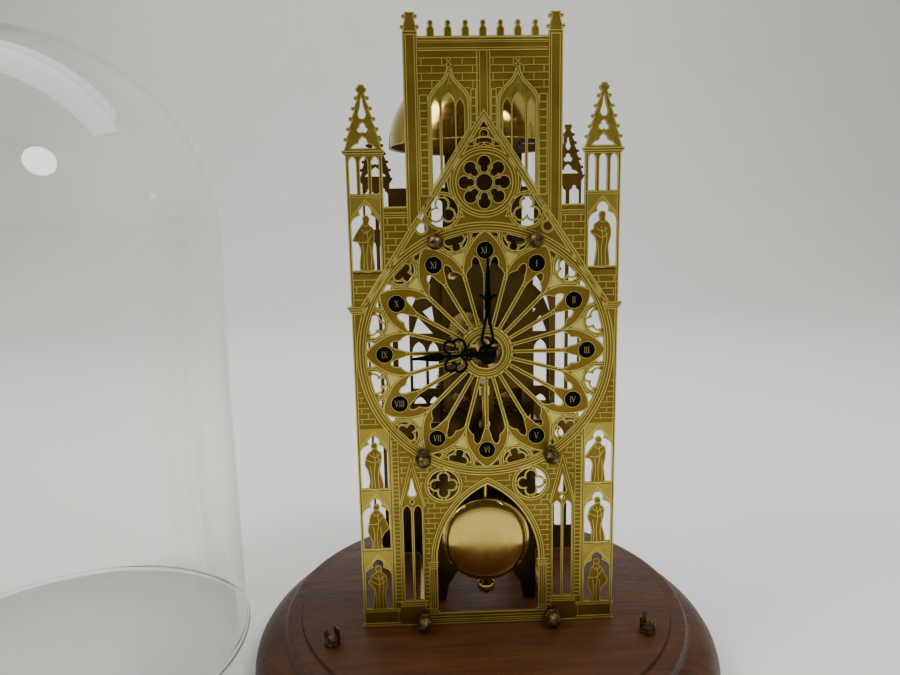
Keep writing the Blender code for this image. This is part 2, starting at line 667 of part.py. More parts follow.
def hammer_arm(material):
    """Arbor between the movement plates, lifting tail in front and a bent arm behind."""
    x, z = HAMMER
    tail = [(x - 1.2, z - 1.2), (x + 1.2, z + 1.2), (4.0, 8.5), (2.6, 7.0), (2.9, 6.4)]
    tail = [(px - x, pz - z) for px, pz in [(x - 2.4, z + 0.4), (2.0, 7.6), (2.6, 6.0), (4.4, 6.0), (x + 2.0, z - 1.6)]]
    lift = plate("lift", tail, [], 28.5, 29.7, material, HAMMER)
    hub = rod("hub", HAMMER, 27.5, 31.0, 2.8, material, 10)
    shaft = arbor("shaft", HAMMER, FRONT_PLATE[1] + GAP, REAR_PLATE[0] - GAP, material)
    tip = rod("tip", HAMMER, REAR_PLATE[0] - 1.0, 46.0, 0.55, material, 8)
    path = [(24.6, 34.2), (24.2, 37.4), (17.9, 46.0), (17.9, 76.0), (24.0, 96.0), (24.4, 104.4), (34.2, 104.4),
            (34.2, 106.4), (22.4, 106.4), (22.0, 96.6), (15.6, 76.6), (15.6, 45.4), (20.6, 36.6), (20.6, 34.2)]
    arm = plate("arm", [(px - x, pz - z) for px, pz in path], [], 44.2, 45.8, material, HAMMER)
    boss = rod("boss", HAMMER, 43.0, 46.6, 2.6, material, 10)
    return joined("hammer_arm", [shaft, lift, hub, tip, boss, arm], material, place(x, HAMMER_DEPTH, z))


def hammer_head(material):
    """Turned head on the end of the arm, striking outwards at the rim."""
    depth = HAMMER_DEPTH
    origin = place(39.0, depth, 107.4)
    work = bmesh.new()
    profile = [(0.0, -4.5), (3.0, -4.5), (3.8, -3.6), (3.8, 2.6), (3.0, 4.2), (0.0, 4.6)]
    sides = 12
    rings = []
    for radius, along in profile:
        spots = [(0.0, 0.0)] if radius == 0.0 else ring((0.0, 0.0), radius, sides)
        rings.append([work.verts.new(Vector((along, a, b)) * MM) for a, b in spots])
    for first, second in zip(rings, rings[1:]):
        for i in range(sides):
            corners = [first[i % len(first)], first[(i + 1) % len(first)],
                       second[(i + 1) % len(second)], second[i % len(second)]]
            work.faces.new(list(dict.fromkeys(corners)))
    bmesh.ops.recalc_face_normals(work, faces=work.faces)
    mesh = bpy.data.meshes.new("hammer_head")
    work.to_mesh(mesh)
    work.free()
    return shade(new_object("hammer_head", mesh, material, origin))


# ---------------------------------------------------------------- going train

def wheel_and_pinion(name, centre, wheel, pinion, shaft, material):
    """wheel: outline, crossings, depths. pinion: outline, depths. shaft: depths and radius of the plain arbor."""
    outline, windows, front, back = wheel
    rim = plate("rim", outline, windows, front, back, material, centre)
    leaves = plate("leaves", pinion[0], [], pinion[1], pinion[2], material, centre)
    axle = arbor("axle", centre, *shaft)
    return joined(name, [axle, rim, leaves], material, place(centre[0], (front + back) / 2, centre[1]))


def bearing(a, b):
    """Direction from a to b in degrees."""
    return math.degrees(math.atan2(b[1] - a[1], b[0] - a[0]))


def barrel(material):
    """Great wheel cut on the rim of the spring drum. The drum is open behind."""
    towards = bearing(BARREL, CENTRE)
    teeth = pointed_teeth(GREAT_TEETH, 24.5, 0.55, 0.85, towards)
    bore = ring((0.0, 0.0), 2.4, 12)
    rim = plate("rim", teeth, [bore], 43.0, 45.0, material, BARREL)
    drum_profile = [(2.4, 44.5), (20.5, 44.5), (20.5, 55.6), (19.4, 55.6), (19.4, 46.0), (2.4, 46.0)]
    drum = turned("drum", drum_profile, place(BARREL[0], 0.0, BARREL[1]), material, sides=24, closed=True)
    return joined("barrel_great_wheel", [rim, drum], material, place(BARREL[0], 45.0, BARREL[1]))


def barrel_cover(material):
    profile = [(2.6, 55.9), (20.4, 55.9), (20.4, 56.9), (2.6, 56.9)]
    return turned("barrel_cover", profile, place(BARREL[0], 0.0, BARREL[1]), material, sides=20, closed=True)


def mainspring(material):
    """The wound coil, packed against the drum wall, as one ring."""
    profile = [(12.6, 46.5), (19.0, 46.5), (19.0, 55.2), (12.6, 55.2)]
    return turned("mainspring", profile, place(BARREL[0], 0.0, BARREL[1]), material, sides=20, closed=True)


def barrel_arbor(material):
    """Winding arbor: front pivot, core inside the drum, square end behind the rear plate."""
    profile = [(0.0, 39.8), (0.5, 39.8), (0.5, 41.3), (2.1, 41.3), (2.1, 46.4), (6.0, 46.4), (6.0, 55.2), (2.1, 55.2),
               (2.1, 90.4), (0.0, 90.4)]
    shaft = turned("shaft", profile, place(BARREL[0], 0.0, BARREL[1]), material, sides=16)
    square = plate("square", ring((0, 0), 2.1, 4, 45.0), [], 88.9, 96.4, material, BARREL)
    return joined("winding_arbor", [shaft, square], material, place(BARREL[0], 60.0, BARREL[1]))


def ratchet_wheel(material):
    teeth = 16
    points = []
    for i in range(teeth):
        points.append(polar((0, 0), 6.9, 360.0 * i / teeth - 3.0))
        points.append(polar((0, 0), 8.6, 360.0 * i / teeth))
    return plate("ratchet_wheel", points, [ring((0, 0), 2.4, 12)], *RATCHET, material, BARREL)


def click(material):
    """Pawl held just clear of the ratchet's teeth."""
    pivot = CLICK
    shape = [(-7.0, -0.6), (-4.6, -1.7), (0.0, -1.8), (1.8, 0.0), (1.3, 1.3), (0.0, 1.8), (-4.6, 0.7), (-7.4, 0.2)]
    blade = plate("blade", shape, [], *RATCHET, material, pivot)
    post = rod("post", pivot, REAR_FACADE[1] + GAP, RATCHET[1] + 0.8, 1.2, material, 8)
    return joined("click", [blade, post], material, place(pivot[0], RATCHET[0], pivot[1]))


def click_spring(material):
    """Thin bent strip that presses on the click's back, fixed at its foot."""
    strip = [(17.4, -8.0), (13.6, -8.0), (11.4, -18.1), (11.8, -18.2), (14.8, -10.6), (17.4, -10.6)]
    return plate("click_spring", strip, [], REAR_FACADE[1] + GAP, RATCHET[1] - 0.4, material)


def centre_wheel(material):
    towards_third = bearing(CENTRE, THIRD)
    towards_barrel = bearing(CENTRE, BARREL)
    teeth = pointed_teeth(CENTRE_TEETH, 14.4, 0.27, 0.42, towards_third)
    windows = crossings(3.2, 12.6, 4, 2.4)
    rim = plate("rim", teeth, windows, 36.0, 37.2, material, CENTRE)
    pinion = gear_outline(8, 2.72, 0.5, 0.85, towards_barrel + 22.5, 0.14, 0.34)
    leaves = plate("leaves", pinion, [], 42.0, 46.0, material, CENTRE)
    shaft = [(0.0, -8.6), (1.0, -8.6), (1.0, 47.4), (0.0, 47.4)]
    axle = turned("axle", shaft, place(0.0, 0.0, 0.0), material, sides=10)
    cam = plate("cam", [polar((0, 0), r, a) for r, a in ((3.0, 60), (3.6, 140), (4.4, 220), (5.2, 300), (5.3, 330),
                                                        (2.6, 338), (2.6, 20))], [], 28.6, 29.8, material, CENTRE)
    return joined("centre_wheel", [axle, rim, leaves, cam], material, place(0.0, 36.6, 0.0))


def third_wheel(material):
    teeth = pointed_teeth(THIRD_TEETH, 11.25, 0.22, 0.36, bearing(THIRD, ESCAPE))
    pinion = gear_outline(8, 1.44, 0.24, 0.42, bearing(THIRD, CENTRE) + 22.5, 0.14, 0.34)
    wheel = (teeth, crossings(2.6, 9.7, 4, 1.6), 32.0, 33.0)
    return wheel_and_pinion("third_wheel", THIRD, wheel, (pinion, 35.0, 38.4), (25.8, 39.2, material, ARBOR_R), material)


def escape_wheel(material):
    """Pointed hooked teeth, a six-leaf pinion behind."""
    points = []
    pitch = 360.0 / ESCAPE_TEETH
    for i in range(ESCAPE_TEETH):
        points.append(polar((0, 0), ESCAPE_R, pitch * i))
        points.append(polar((0, 0), ESCAPE_R - 0.7, pitch * i + pitch * 0.35))
    pinion = gear_outline(6, 0.9, 0.2, 0.34, bearing(ESCAPE, THIRD) + 30.0, 0.12, 0.40)
    wheel = (points, crossings(2.0, 5.6, 4, 1.2, 2), 28.5, 29.5)
    return wheel_and_pinion("escape_wheel", ESCAPE, wheel, (pinion, 31.0, 34.0), (25.8, 39.2, material, ESCAPE_ARBOR_R), material)


def pallet_anchor(material):
    """Arbor on the swing axis, arms that reach either side of the escape wheel."""
    shape = [(-2.2, -1.6), (0.0, -2.6), (3.2, -6.6), (5.0, -7.4), (5.6, -6.6), (4.0, -5.2), (1.9, -1.8), (1.9, 1.8),
             (4.0, 5.2), (5.6, 6.6), (5.0, 7.4), (3.2, 6.6), (0.0, 2.6), (-2.2, 1.6)]
    arms = plate("arms", shape, [], 28.2, 29.8, material, SWING)
    axle_profile = [(0.0, 16.0), (ARBOR_R, 16.0), (ARBOR_R, 39.2), (PIVOT_R, 39.2), (PIVOT_R, 40.7), (0.0, 40.7)]
    axle = turned("axle", axle_profile, place(SWING[0], 0.0, SWING[1]), material, sides=8)
    return joined("pallet_anchor", [axle, arms], material, place(SWING[0], 29.0, SWING[1]))


def crutch(material):
    """Hangs from the pallet arbor and takes the pendulum rod between two prongs."""
    strip = [(-0.9, -23.5), (-0.9, -2.0), (0.9, -2.0), (0.9, -23.5)]
    collar = plate("collar", ring((0, 0), 2.2, 10), [ring((0, 0), 1.2, 8)], 16.6, 18.4, material, SWING)
    blade = plate("blade", strip, [], 17.0, 18.0, material, SWING)
    bar = plate("bar", [(-2.8, -26.0), (2.8, -26.0), (2.8, -23.0), (-2.8, -23.0)], [], 17.0, 18.0, material, SWING)
    left = plate("left", [(-2.8, -26.0), (-1.6, -26.0), (-1.6, -23.0), (-2.8, -23.0)], [], 12.4, 17.5, material, SWING)
    right = plate("right", [(1.6, -26.0), (2.8, -26.0), (2.8, -23.0), (1.6, -23.0)], [], 12.4, 17.5, material, SWING)
    return joined("crutch", [collar, blade, bar, left, right], material, place(SWING[0], 17.5, SWING[1]))


# ---------------------------------------------------------------- pendulum

def suspension_cock(material):
    """Bracket on the front movement plate that clamps the suspension spring."""
    arm = block("arm", (-2.6, 2.6), (12.2, FRONT_PLATE[0] - GAP), (-13.0, -10.6), material)
    foot = block("foot", (-7.0, 7.0), (22.8, FRONT_PLATE[0] - GAP), (-13.4, -10.4), material)
    return joined("suspension_cock", [arm, foot], material, place(0.0, 18.0, -13.0))


def suspension_spring(material):
    """Thin steel strip that bends at the swing axis."""
    return block("suspension_spring", (-1.8, 1.8), (PENDULUM_DEPTH - 0.15, PENDULUM_DEPTH + 0.15),
                 (-19.7, -13.3), material)


def pendulum_rod(material):
    top, end = -24.4, -135.8
    shaft = turned("shaft", [(0.0, top), (1.0, top), (1.0, end), (0.0, end)], place(0.0, PENDULUM_DEPTH, 0.0),
                   material, "Z", 10)
    head = block("head", (-2.6, 2.6), (PENDULUM_DEPTH - 1.3, PENDULUM_DEPTH + 1.3), (-25.0, -20.0), material)
    return joined("pendulum_rod", [shaft, head], material, place(SWING[0], PENDULUM_DEPTH, SWING[1]))


def pendulum_bob(material):
    """Thick disc, nearly flat in front and behind, with a slot down its middle for the rod, cut from behind."""
    front = [(0.0, -6.0), (BOB_R * 0.5, -5.8), (BOB_R - 2.6, -5.2), (BOB_R - 1.0, -4.2), (BOB_R, -2.4)]
    back = [(r, -along) for r, along in reversed(front)]
    lens = turned("lens", front + back, place(0.0, PENDULUM_DEPTH, BOB_Z), material, sides=32)
    slot = block("slot", (-1.3, 1.3), (PENDULUM_DEPTH - 1.4, PENDULUM_DEPTH + 9.0), (BOB_Z - 30.0, BOB_Z + 30.0), material)
    cut = lens.modifiers.new("slot", "BOOLEAN")
    cut.operation = "DIFFERENCE"
    cut.object = slot
    graph = bpy.context.evaluated_depsgraph_get()
    mesh = bpy.data.meshes.new_from_object(lens.evaluated_get(graph))
    origin = place(0.0, PENDULUM_DEPTH, BOB_Z)
    bpy.data.objects.remove(lens)
    bpy.data.objects.remove(slot)
    return shade(new_object("pendulum_bob", mesh, material, origin))


def rating_nut(material):
    """Shallow knurled ring on the threaded end, dished on top."""
    profile = [(1.3, 0.2), (3.2, 0.2), (3.6, 2.1), (4.5, 2.1), (4.5, -1.6), (3.4, -2.4), (1.3, -2.4)]
    return turned("rating_nut", profile, place(0.0, PENDULUM_DEPTH, NUT_Z), material, "Z", 16, closed=True)


# ---------------------------------------------------------------- motion work and hands

def cannon_pinion(material):
    teeth = gear_outline(CANNON_TEETH, 3.0, 0.4, 0.6, bearing(CENTRE, MOTION) + 15.0, 0.16, 0.34)
    leaves = plate("leaves", teeth, [ring((0, 0), 1.3, 12)], 20.5, 22.3, material, CENTRE)
    tube = turned("tube", [(1.3, -8.0), (1.7, -8.0), (1.7, 22.6), (1.3, 22.6)], place(0.0, 0.0, 0.0), material,
                  sides=12, closed=True)
    return joined("cannon_pinion", [tube, leaves], material, place(0.0, 20.0, 0.0))


def minute_wheel(material):
    """Turns on a stud and carries the pinion that drives the hour wheel."""
    towards = bearing(MOTION, CENTRE)
    teeth = pointed_teeth(MOTION_TEETH, 9.0, 0.4, 0.6, towards)
    rim = plate("rim", teeth, [ring((0, 0), 1.25, 10)], 20.8, 22.0, material, MOTION)
    pinion = gear_outline(10, 2.4, 0.36, 0.6, towards + 18.0, 0.16, 0.34)
    leaves = plate("leaves", pinion, [ring((0, 0), 1.25, 10)], 18.2, 21.2, material, MOTION)
    return joined("minute_wheel", [rim, leaves], material, place(MOTION[0], 21.4, MOTION[1]))


def minute_wheel_stud(material):
    profile = [(0.0, 17.3), (1.9, 17.3), (1.9, 17.9), (0.95, 17.9), (0.95, 22.6), (2.0, 22.6),
               (2.0, FRONT_PLATE[0] - GAP), (0.0, FRONT_PLATE[0] - GAP)]
    return turned("minute_wheel_stud", profile, place(MOTION[0], 0.0, MOTION[1]), material, sides=10)


def hour_wheel(material):
    teeth = pointed_teeth(HOUR_TEETH, 9.6, 0.36, 0.6, bearing(CENTRE, MOTION))
    rim = plate("rim", teeth, [ring((0, 0), 2.0, 12)] + crossings(4.0, 8.2, 4, 1.4, 2), 18.5, 19.7, material, CENTRE)
    pipe = turned("pipe", [(2.0, -4.6), (2.7, -4.6), (2.7, 19.2), (2.0, 19.2)], place(0.0, 0.0, 0.0), material,
                  sides=12, closed=True)
    return joined("hour_wheel", [rim, pipe], material, place(0.0, 19.0, 0.0))


def minute_hand(material):
    """Long blade with a cross and a drop-shaped loop."""
    right = [(2.2, 3.6), (3.1, 7.4), (2.7, 11.0), (1.3, 20.5), (1.2, 26.0), (4.1, 27.4), (4.1, 29.0), (1.2, 29.6),
             (1.3, 40.0), (0.25, 54.3)]
    hub = arc((0.0, 0.0), 4.3, -230.0, 50.0, 14)
    outline = hub + right[1:] + mirrored(right[1:])
    loop = [(0.0, 6.2), (1.9, 8.0), (1.6, 11.2), (0.0, 18.6), (-1.6, 11.2), (-1.9, 8.0)]
    holes = [ring((0.0, 0.0), 2.0, 12), turned_about(loop, MINUTE_ANGLE)]
    return plate("minute_hand", turned_about(outline, MINUTE_ANGLE), holes, -8.0, -7.2, material, CENTRE)


def hour_hand(material):
    """Spear with two side loops."""
    right = [(2.2, 6.4), (6.6, 9.0), (8.8, 13.0), (7.4, 17.6), (4.2, 18.2), (1.6, 20.6), (2.6, 27.0), (0.3, 36.4)]
    hub = arc((0.0, 0.0), 4.6, -240.0, 60.0, 12)
    outline = hub + right + mirrored(right)
    loop = [(3.2, 9.2), (6.0, 10.6), (7.2, 13.2), (6.2, 16.2), (4.2, 16.6), (2.6, 14.6), (2.2, 11.6)]
    holes = [ring((0.0, 0.0), 3.0, 12), turned_about(loop, HOUR_ANGLE), turned_about(mirrored(loop), HOUR_ANGLE)]
    return plate("hour_hand", turned_about(outline, HOUR_ANGLE), holes, -4.4, -3.5, material, CENTRE)


def hand_nut(material):
    """Domed boss that holds the minute hand on the cannon pinion."""
    profile = [(1.2, -8.9), (1.2, -8.3), (4.4, -8.3), (4.4, -9.0), (3.8, -10.4), (2.2, -11.2), (0.0, -11.5),
               (0.0, -8.9)]
    return turned("hand_nut", profile, place(0.0, 0.0, 0.0), material, sides=16, closed=True)


# ---------------------------------------------------------------- assembly

def clear_scene():
    for obj in list(bpy.data.objects):
        bpy.data.objects.remove(obj, do_unlink=True)


def build_frame(etched, dark, cut, nuts):
    facade(etched)
    rear_facade(dark)
    front_movement_plate(dark)
    rear_movement_plate(dark)
    for name, spot in PILLARS.items():
        frame_pillar(name, spot, cut)
        acorn_nut(name, spot, nuts)
    for name, spot in MOVEMENT_PILLARS.items():
        movement_pillar(name, spot, cut)


def build_train(cut, grey):
    barrel(cut)
    barrel_cover(cut)
    mainspring(grey)
    barrel_arbor(grey)
    ratchet_wheel(cut)
    click(grey)
    click_spring(grey)
    centre_wheel(cut)
    third_wheel(cut)
    escape_wheel(cut)
    pallet_anchor(grey)
    crutch(cut)


def build_motion_work(cut, grey, black):
    cannon_pinion(grey)
    minute_wheel(cut)
    minute_wheel_stud(grey)
    hour_wheel(cut)
    minute_hand(black)
    hour_hand(black)
    hand_nut(black)


def main():
    clear_scene()
    etched, dark, polished, cut = etched_brass(), dark_brass(), polished_brass(), cut_brass()
    grey, black, nuts = steel(), black_lacquer(), dark_brass()
    build_frame(etched, dark, cut, nuts)
    build_train(cut, grey)
    build_motion_work(cut, grey, black)
    suspension_cock(cut)
    suspension_spring(grey)
    pendulum_rod(polished)
    pendulum_bob(polished)
    rating_nut(polished)
    bell(polished)
    bell_stand(cut)
    bell_nut(polished)
    hammer_arm(grey)
    hammer_head(cut)
    wooden_base(mahogany())
    for name, (x, y) in SCREW_PLACES.items():
        levelling_screw(name, x, y, nuts)
    glass_dome(clear_glass())


main()
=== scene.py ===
"""Looks of a brass skeleton clock with a cathedral front on a wooden base, and of its glass dome beside it.

The frame is in metres. Drawings here are in millimetres about the dial's centre: x to the right, z up, and
depth backwards from the front of the facade plate.
"""

import json
import math

import bmesh
import bpy
import numpy as np
from mathutils import Matrix, Vector


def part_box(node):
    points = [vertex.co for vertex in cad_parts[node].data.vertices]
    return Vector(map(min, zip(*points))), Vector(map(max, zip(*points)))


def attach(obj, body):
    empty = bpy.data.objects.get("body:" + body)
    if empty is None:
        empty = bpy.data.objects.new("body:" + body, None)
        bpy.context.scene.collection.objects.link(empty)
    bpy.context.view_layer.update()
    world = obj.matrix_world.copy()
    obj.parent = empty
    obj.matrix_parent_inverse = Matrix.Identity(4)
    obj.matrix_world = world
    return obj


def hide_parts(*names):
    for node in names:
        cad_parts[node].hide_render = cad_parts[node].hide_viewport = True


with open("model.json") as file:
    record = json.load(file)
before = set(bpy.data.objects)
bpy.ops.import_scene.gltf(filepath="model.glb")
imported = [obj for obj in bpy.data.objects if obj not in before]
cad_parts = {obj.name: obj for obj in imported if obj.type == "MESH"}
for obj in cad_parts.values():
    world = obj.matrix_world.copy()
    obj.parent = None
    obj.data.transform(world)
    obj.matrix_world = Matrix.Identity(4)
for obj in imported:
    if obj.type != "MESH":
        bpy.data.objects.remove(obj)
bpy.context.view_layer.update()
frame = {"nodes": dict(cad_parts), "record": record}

MM = 0.001
NEAR = 1e-4


def middle(node):
    low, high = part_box(node)
    return [(a + b) / 2 for a, b in zip(low, high)]


# ---------------- places taken from the frame

DIAL_X, _, DIAL_Z = middle("hand_nut")
FACE_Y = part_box("facade_plate")[0][1]
PLATE_THICK = (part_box("facade_plate")[1][1] - FACE_Y) / MM
FOOT = (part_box("facade_plate")[0][2] - DIAL_Z) / MM
CROWN = (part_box("facade_plate")[1][2] - DIAL_Z) / MM
CORNICE_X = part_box("facade_plate")[1][0] / MM

# Depths of the facade's layers
LINE_FRONT = 0.0
PATCH_FRONT = 0.16
FIELD_FRONT = 0.30

# Facade drawing
EDGE_X = 65.3
TOWER_IN, TOWER_OUT = 30.2, 37.2
TURRET_X = 56.8
TURRET_IN = 48.0
CORNICE_Z = 97.5
SPIRE_HALF = 9.0
SPIRE_TOP = 123.0
GABLE_APEX = 115.5
GABLE_SLOPE = 1.505
COURSE = 3.35
MERLON_PITCH = 8.07
WINDOW_X = 16.1
ROSE = (0.0, 82.0)
NUMERAL_R = 50.0
DISC_R = 4.1
JOIN_R = 37.7
DOOR_HALF, DOOR_SPRING, DOOR_APEX = 26.2, -110.0, -68.5
NICHES = ((41.5, 30.5), (-69.0, 27.4), (-101.5, 27.0), (-135.0, 27.5))
SIDES = ((1, "right"), (-1, "left"))


# ---------------- drawing helpers

def place(x, depth, z):
    return Vector((DIAL_X + x * MM, FACE_Y + depth * MM, DIAL_Z + z * MM))


def polar(centre, radius, degrees):
    angle = math.radians(degrees)
    return (centre[0] + radius * math.cos(angle), centre[1] + radius * math.sin(angle))


def arc(centre, radius, start, end, steps):
    return [polar(centre, radius, start + (end - start) * i / steps) for i in range(steps + 1)]


def circle(centre, radius, sides):
    return [polar(centre, radius, 360.0 * i / sides) for i in range(sides)]


def mirrored(shape):
    return [(-x, z) for x, z in reversed(shape)]


def both_sides(shapes):
    return shapes + [mirrored(shape) for shape in shapes]


def on_side(side, shape):
    """A shape drawn on the right, on the wanted side."""
    return shape if side > 0 else mirrored(shape)


def about_axis(x, right):
    """A symmetrical outline about an upright axis, from its right half in distances from the axis."""
    return [(x + u, z) for u, z in right + [(-u, z) for u, z in reversed(right)]]


def rectangle(x0, x1, z0, z1):
    return [(x0, z0), (x1, z0), (x1, z1), (x0, z1)]


def moved(shape, dx, dz):
    return [(x + dx, z + dz) for x, z in shape]


def turned_about(shape, degrees):
    c, s = math.cos(math.radians(degrees)), math.sin(math.radians(degrees))
    return [(x * c - z * s, x * s + z * c) for x, z in shape]


def smooth(points, steps, closed=True):
    """A curve through the points."""
    count = len(points)
    result = []
    for i in range(count if closed else count - 1):
        if closed:
            p = [points[(i + k) % count] for k in (-1, 0, 1, 2)]
        else:
            p = [points[min(max(i + k, 0), count - 1)] for k in (-1, 0, 1, 2)]
        for j in range(steps):
            t = j / steps
            result.append(tuple(0.5 * (2 * p[1][a] + (p[2][a] - p[0][a]) * t
                                       + (2 * p[0][a] - 5 * p[1][a] + 4 * p[2][a] - p[3][a]) * t * t
                                       + (3 * p[1][a] - p[0][a] - 3 * p[2][a] + p[3][a]) * t ** 3)
                                for a in (0, 1)))
    if not closed:
        result.append(points[-1])
    return result


def pointed(x0, x1, floor0, floor1, spring, apex, steps=6):
    """An opening with upright sides, a sloping or level floor and a pointed head of two arcs."""
    half = (x1 - x0) / 2
    rise = max(apex - spring, half * 1.001)
    radius = (half * half + rise * rise) / (2 * half)
    sweep = math.degrees(math.asin(min(1.0, rise / radius)))
    right = arc((x1 - radius, spring), radius, 0, sweep, steps)
    left = arc((x0 + radius, spring), radius, 180 - sweep, 180, steps)
    return [(x0, floor0), (x1, floor1)] + right + left[1:]


def foiled(centre, lobes, reach, radius, steps=7):
    """The outline of round lobes set about a centre, the first one on top."""
    half = 180.0 / lobes
    cusp = reach * math.cos(math.radians(half))
    cusp += math.sqrt(max(radius ** 2 - (reach * math.sin(math.radians(half))) ** 2, 0.0))
    points = []
    for i in range(lobes):
        at = 90.0 + 360.0 * i / lobes
        lobe = polar(centre, reach, at)
        first = polar(centre, cusp, at - half)
        start = math.degrees(math.atan2(first[1] - lobe[1], first[0] - lobe[0]))
        spread = (at - start) % 360.0
        points += arc(lobe, radius, start, start + 2 * spread, steps)[:-1]
    return points


def trefoil_head(x0, x1, floor, top):
    """A niche opening: upright sides, two round shoulders and a round crown."""
    steps = 5
    middle_x, half = (x0 + x1) / 2, (x1 - x0) / 2
    crown_r = 0.42 * half
    cusp_z = top - 1.95 * crown_r
    shoulder_r = half - 0.72 * crown_r
    spring = cusp_z - 0.80 * shoulder_r
    right = [(x1, floor), (x1, spring)]
    right += arc((x1 - shoulder_r, spring), shoulder_r, 8, 52, steps)
    right += arc((middle_x, top - crown_r), crown_r, -32, 90, steps)
    left = [(2 * middle_x - x, z) for x, z in reversed(right[:-1])]
    return right + left


def area_of(shape):
    return sum(a[0] * b[1] - b[0] * a[1] for a, b in zip(shape, shape[1:] + shape[:1])) / 2


def ccw(shape):
    return shape if area_of(shape) > 0 else list(reversed(shape))


def inside(xs, zs, shape):
    """Which of the points lie inside a closed shape."""
    result = np.zeros(xs.shape, bool)
    for (ax, az), (bx, bz) in zip(shape, shape[1:] + shape[:1]):
        if az == bz:
            continue
        crosses = (az > zs) != (bz > zs)
        result ^= crosses & (xs < (bx - ax) * (zs - az) / (bz - az) + ax)
    return result


def clean_path(points, closed):
    """The path without repeated points, and counterclockwise where it is closed."""
    if closed:
        points = ccw(points)
    points = [p for i, p in enumerate(points) if i == 0 or math.dist(p, points[i - 1]) > NEAR]
    if closed and math.dist(points[0], points[-1]) < NEAR:
        points = points[:-1]
    return points


def rightwards(before, at, after):
    """The offset to the right of a path at one of its points, longer at a corner."""
    normals = []
    for a, b in ((before, at), (at, after)):
        if a is None or b is None:
            continue
        length = math.dist(a, b)
        normals.append(((b[1] - a[1]) / length, -(b[0] - a[0]) / length))
    nx, nz = (sum(n[k] for n in normals) for k in (0, 1))
    scale = len(normals) / max(nx * nx + nz * nz, 0.5)
    return nx * scale, nz * scale


def free_places(xs, zs, zone, blocked, clear):
    """Which of the points lie in the zone and clear of the blocked shapes."""
    good = inside(xs, zs, zone)
    for dx, dz in ((0, 0), (clear, 0), (-clear, 0), (0, clear), (0, -clear)):
        for shape in blocked:
            good &= ~inside(xs + dx, zs + dz, shape)
    return good


def stretches(xs, good):
    """The start of each run of good places, and the place after it."""
    start = None
    for x, ok in zip(xs, good):
        if ok and start is None:
            start = x
        if not ok and start is not None:
            yield start, x
            start = None


# ---------------- mesh helpers

def new_object(name, mesh, material, body, replaced=()):
    mesh.materials.clear()
    mesh.materials.append(material)
    obj = bpy.data.objects.new(name, mesh)
    bpy.context.scene.collection.objects.link(obj)
    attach(obj, body)
    if replaced:
        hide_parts(*replaced)
    return obj


def finish_mesh(work, name, angle=30.0):
    bmesh.ops.recalc_face_normals(work, faces=work.faces)
    mesh = bpy.data.meshes.new(name)
    work.to_mesh(mesh)
    work.free()
    mesh.shade_smooth()
    mesh.set_sharp_from_angle(angle=math.radians(angle))
    return mesh


def plate(name, outline, holes, front, back, material, body, replaced=()):
    """A flat pierced piece between two depths."""
    curve = bpy.data.curves.new(name, "CURVE")
    curve.dimensions = "2D"
    curve.fill_mode = "BOTH"
    curve.extrude = (back - front) / 2 * MM
    for shape in [outline] + holes:
        spline = curve.splines.new("POLY")
        spline.points.add(len(shape) - 1)
        for point, (x, z) in zip(spline.points, shape):
            point.co = (x * MM, z * MM, 0.0, 1.0)
        spline.use_cyclic_u = True
    flat = bpy.data.objects.new(name + "_drawing", curve)
    bpy.context.scene.collection.objects.link(flat)
    graph = bpy.context.evaluated_depsgraph_get()
    raw = bpy.data.meshes.new_from_object(flat.evaluated_get(graph))
    bpy.data.objects.remove(flat)
    work = bmesh.new()
    work.from_mesh(raw)
    bmesh.ops.remove_doubles(work, verts=work.verts, dist=1e-7)
    shift = place(0.0, (front + back) / 2, 0.0)
    for vert in work.verts:
        vert.co = shift + Vector((vert.co.x, -vert.co.z, vert.co.y))
    return new_object(name, finish_mesh(work, name), material, body, replaced)


def turned_mesh(work, profile, origin, axis="Y", sides=64, closed=False):
    """Adds a turned solid to a bmesh. profile holds (radius, distance along the axis) in millimetres."""
    rings = []
    for radius, along in profile:
        spots = [(0.0, 0.0)] if radius < 1e-6 else circle((0.0, 0.0), radius, sides)
        row = []
        for a, b in spots:
            spot = {"Y": (a, along, b), "Z": (a, b, along), "X": (along, a, b)}[axis]
            row.append(work.verts.new(origin + Vector(spot) * MM))
        rings.append(row)
    pairs = list(zip(rings, rings[1:]))
    if closed:
        pairs.append((rings[-1], rings[0]))
    for first, second in pairs:
        for i in range(sides):
            corners = [first[i % len(first)], first[(i + 1) % len(first)],
                       second[(i + 1) % len(second)], second[i % len(second)]]
            distinct = list(dict.fromkeys(corners))
            if len(distinct) > 2:
                work.faces.new(distinct)
    if not closed:
        for row in (rings[0], rings[-1]):
            if len(row) > 1:
                work.faces.new(row)


def turned(name, profile, origin, material, body, replaced=(), axis="Y", sides=64, closed=False, angle=30.0):
    work = bmesh.new()
    turned_mesh(work, profile, origin, axis, sides, closed)
    return new_object(name, finish_mesh(work, name, angle), material, body, replaced)


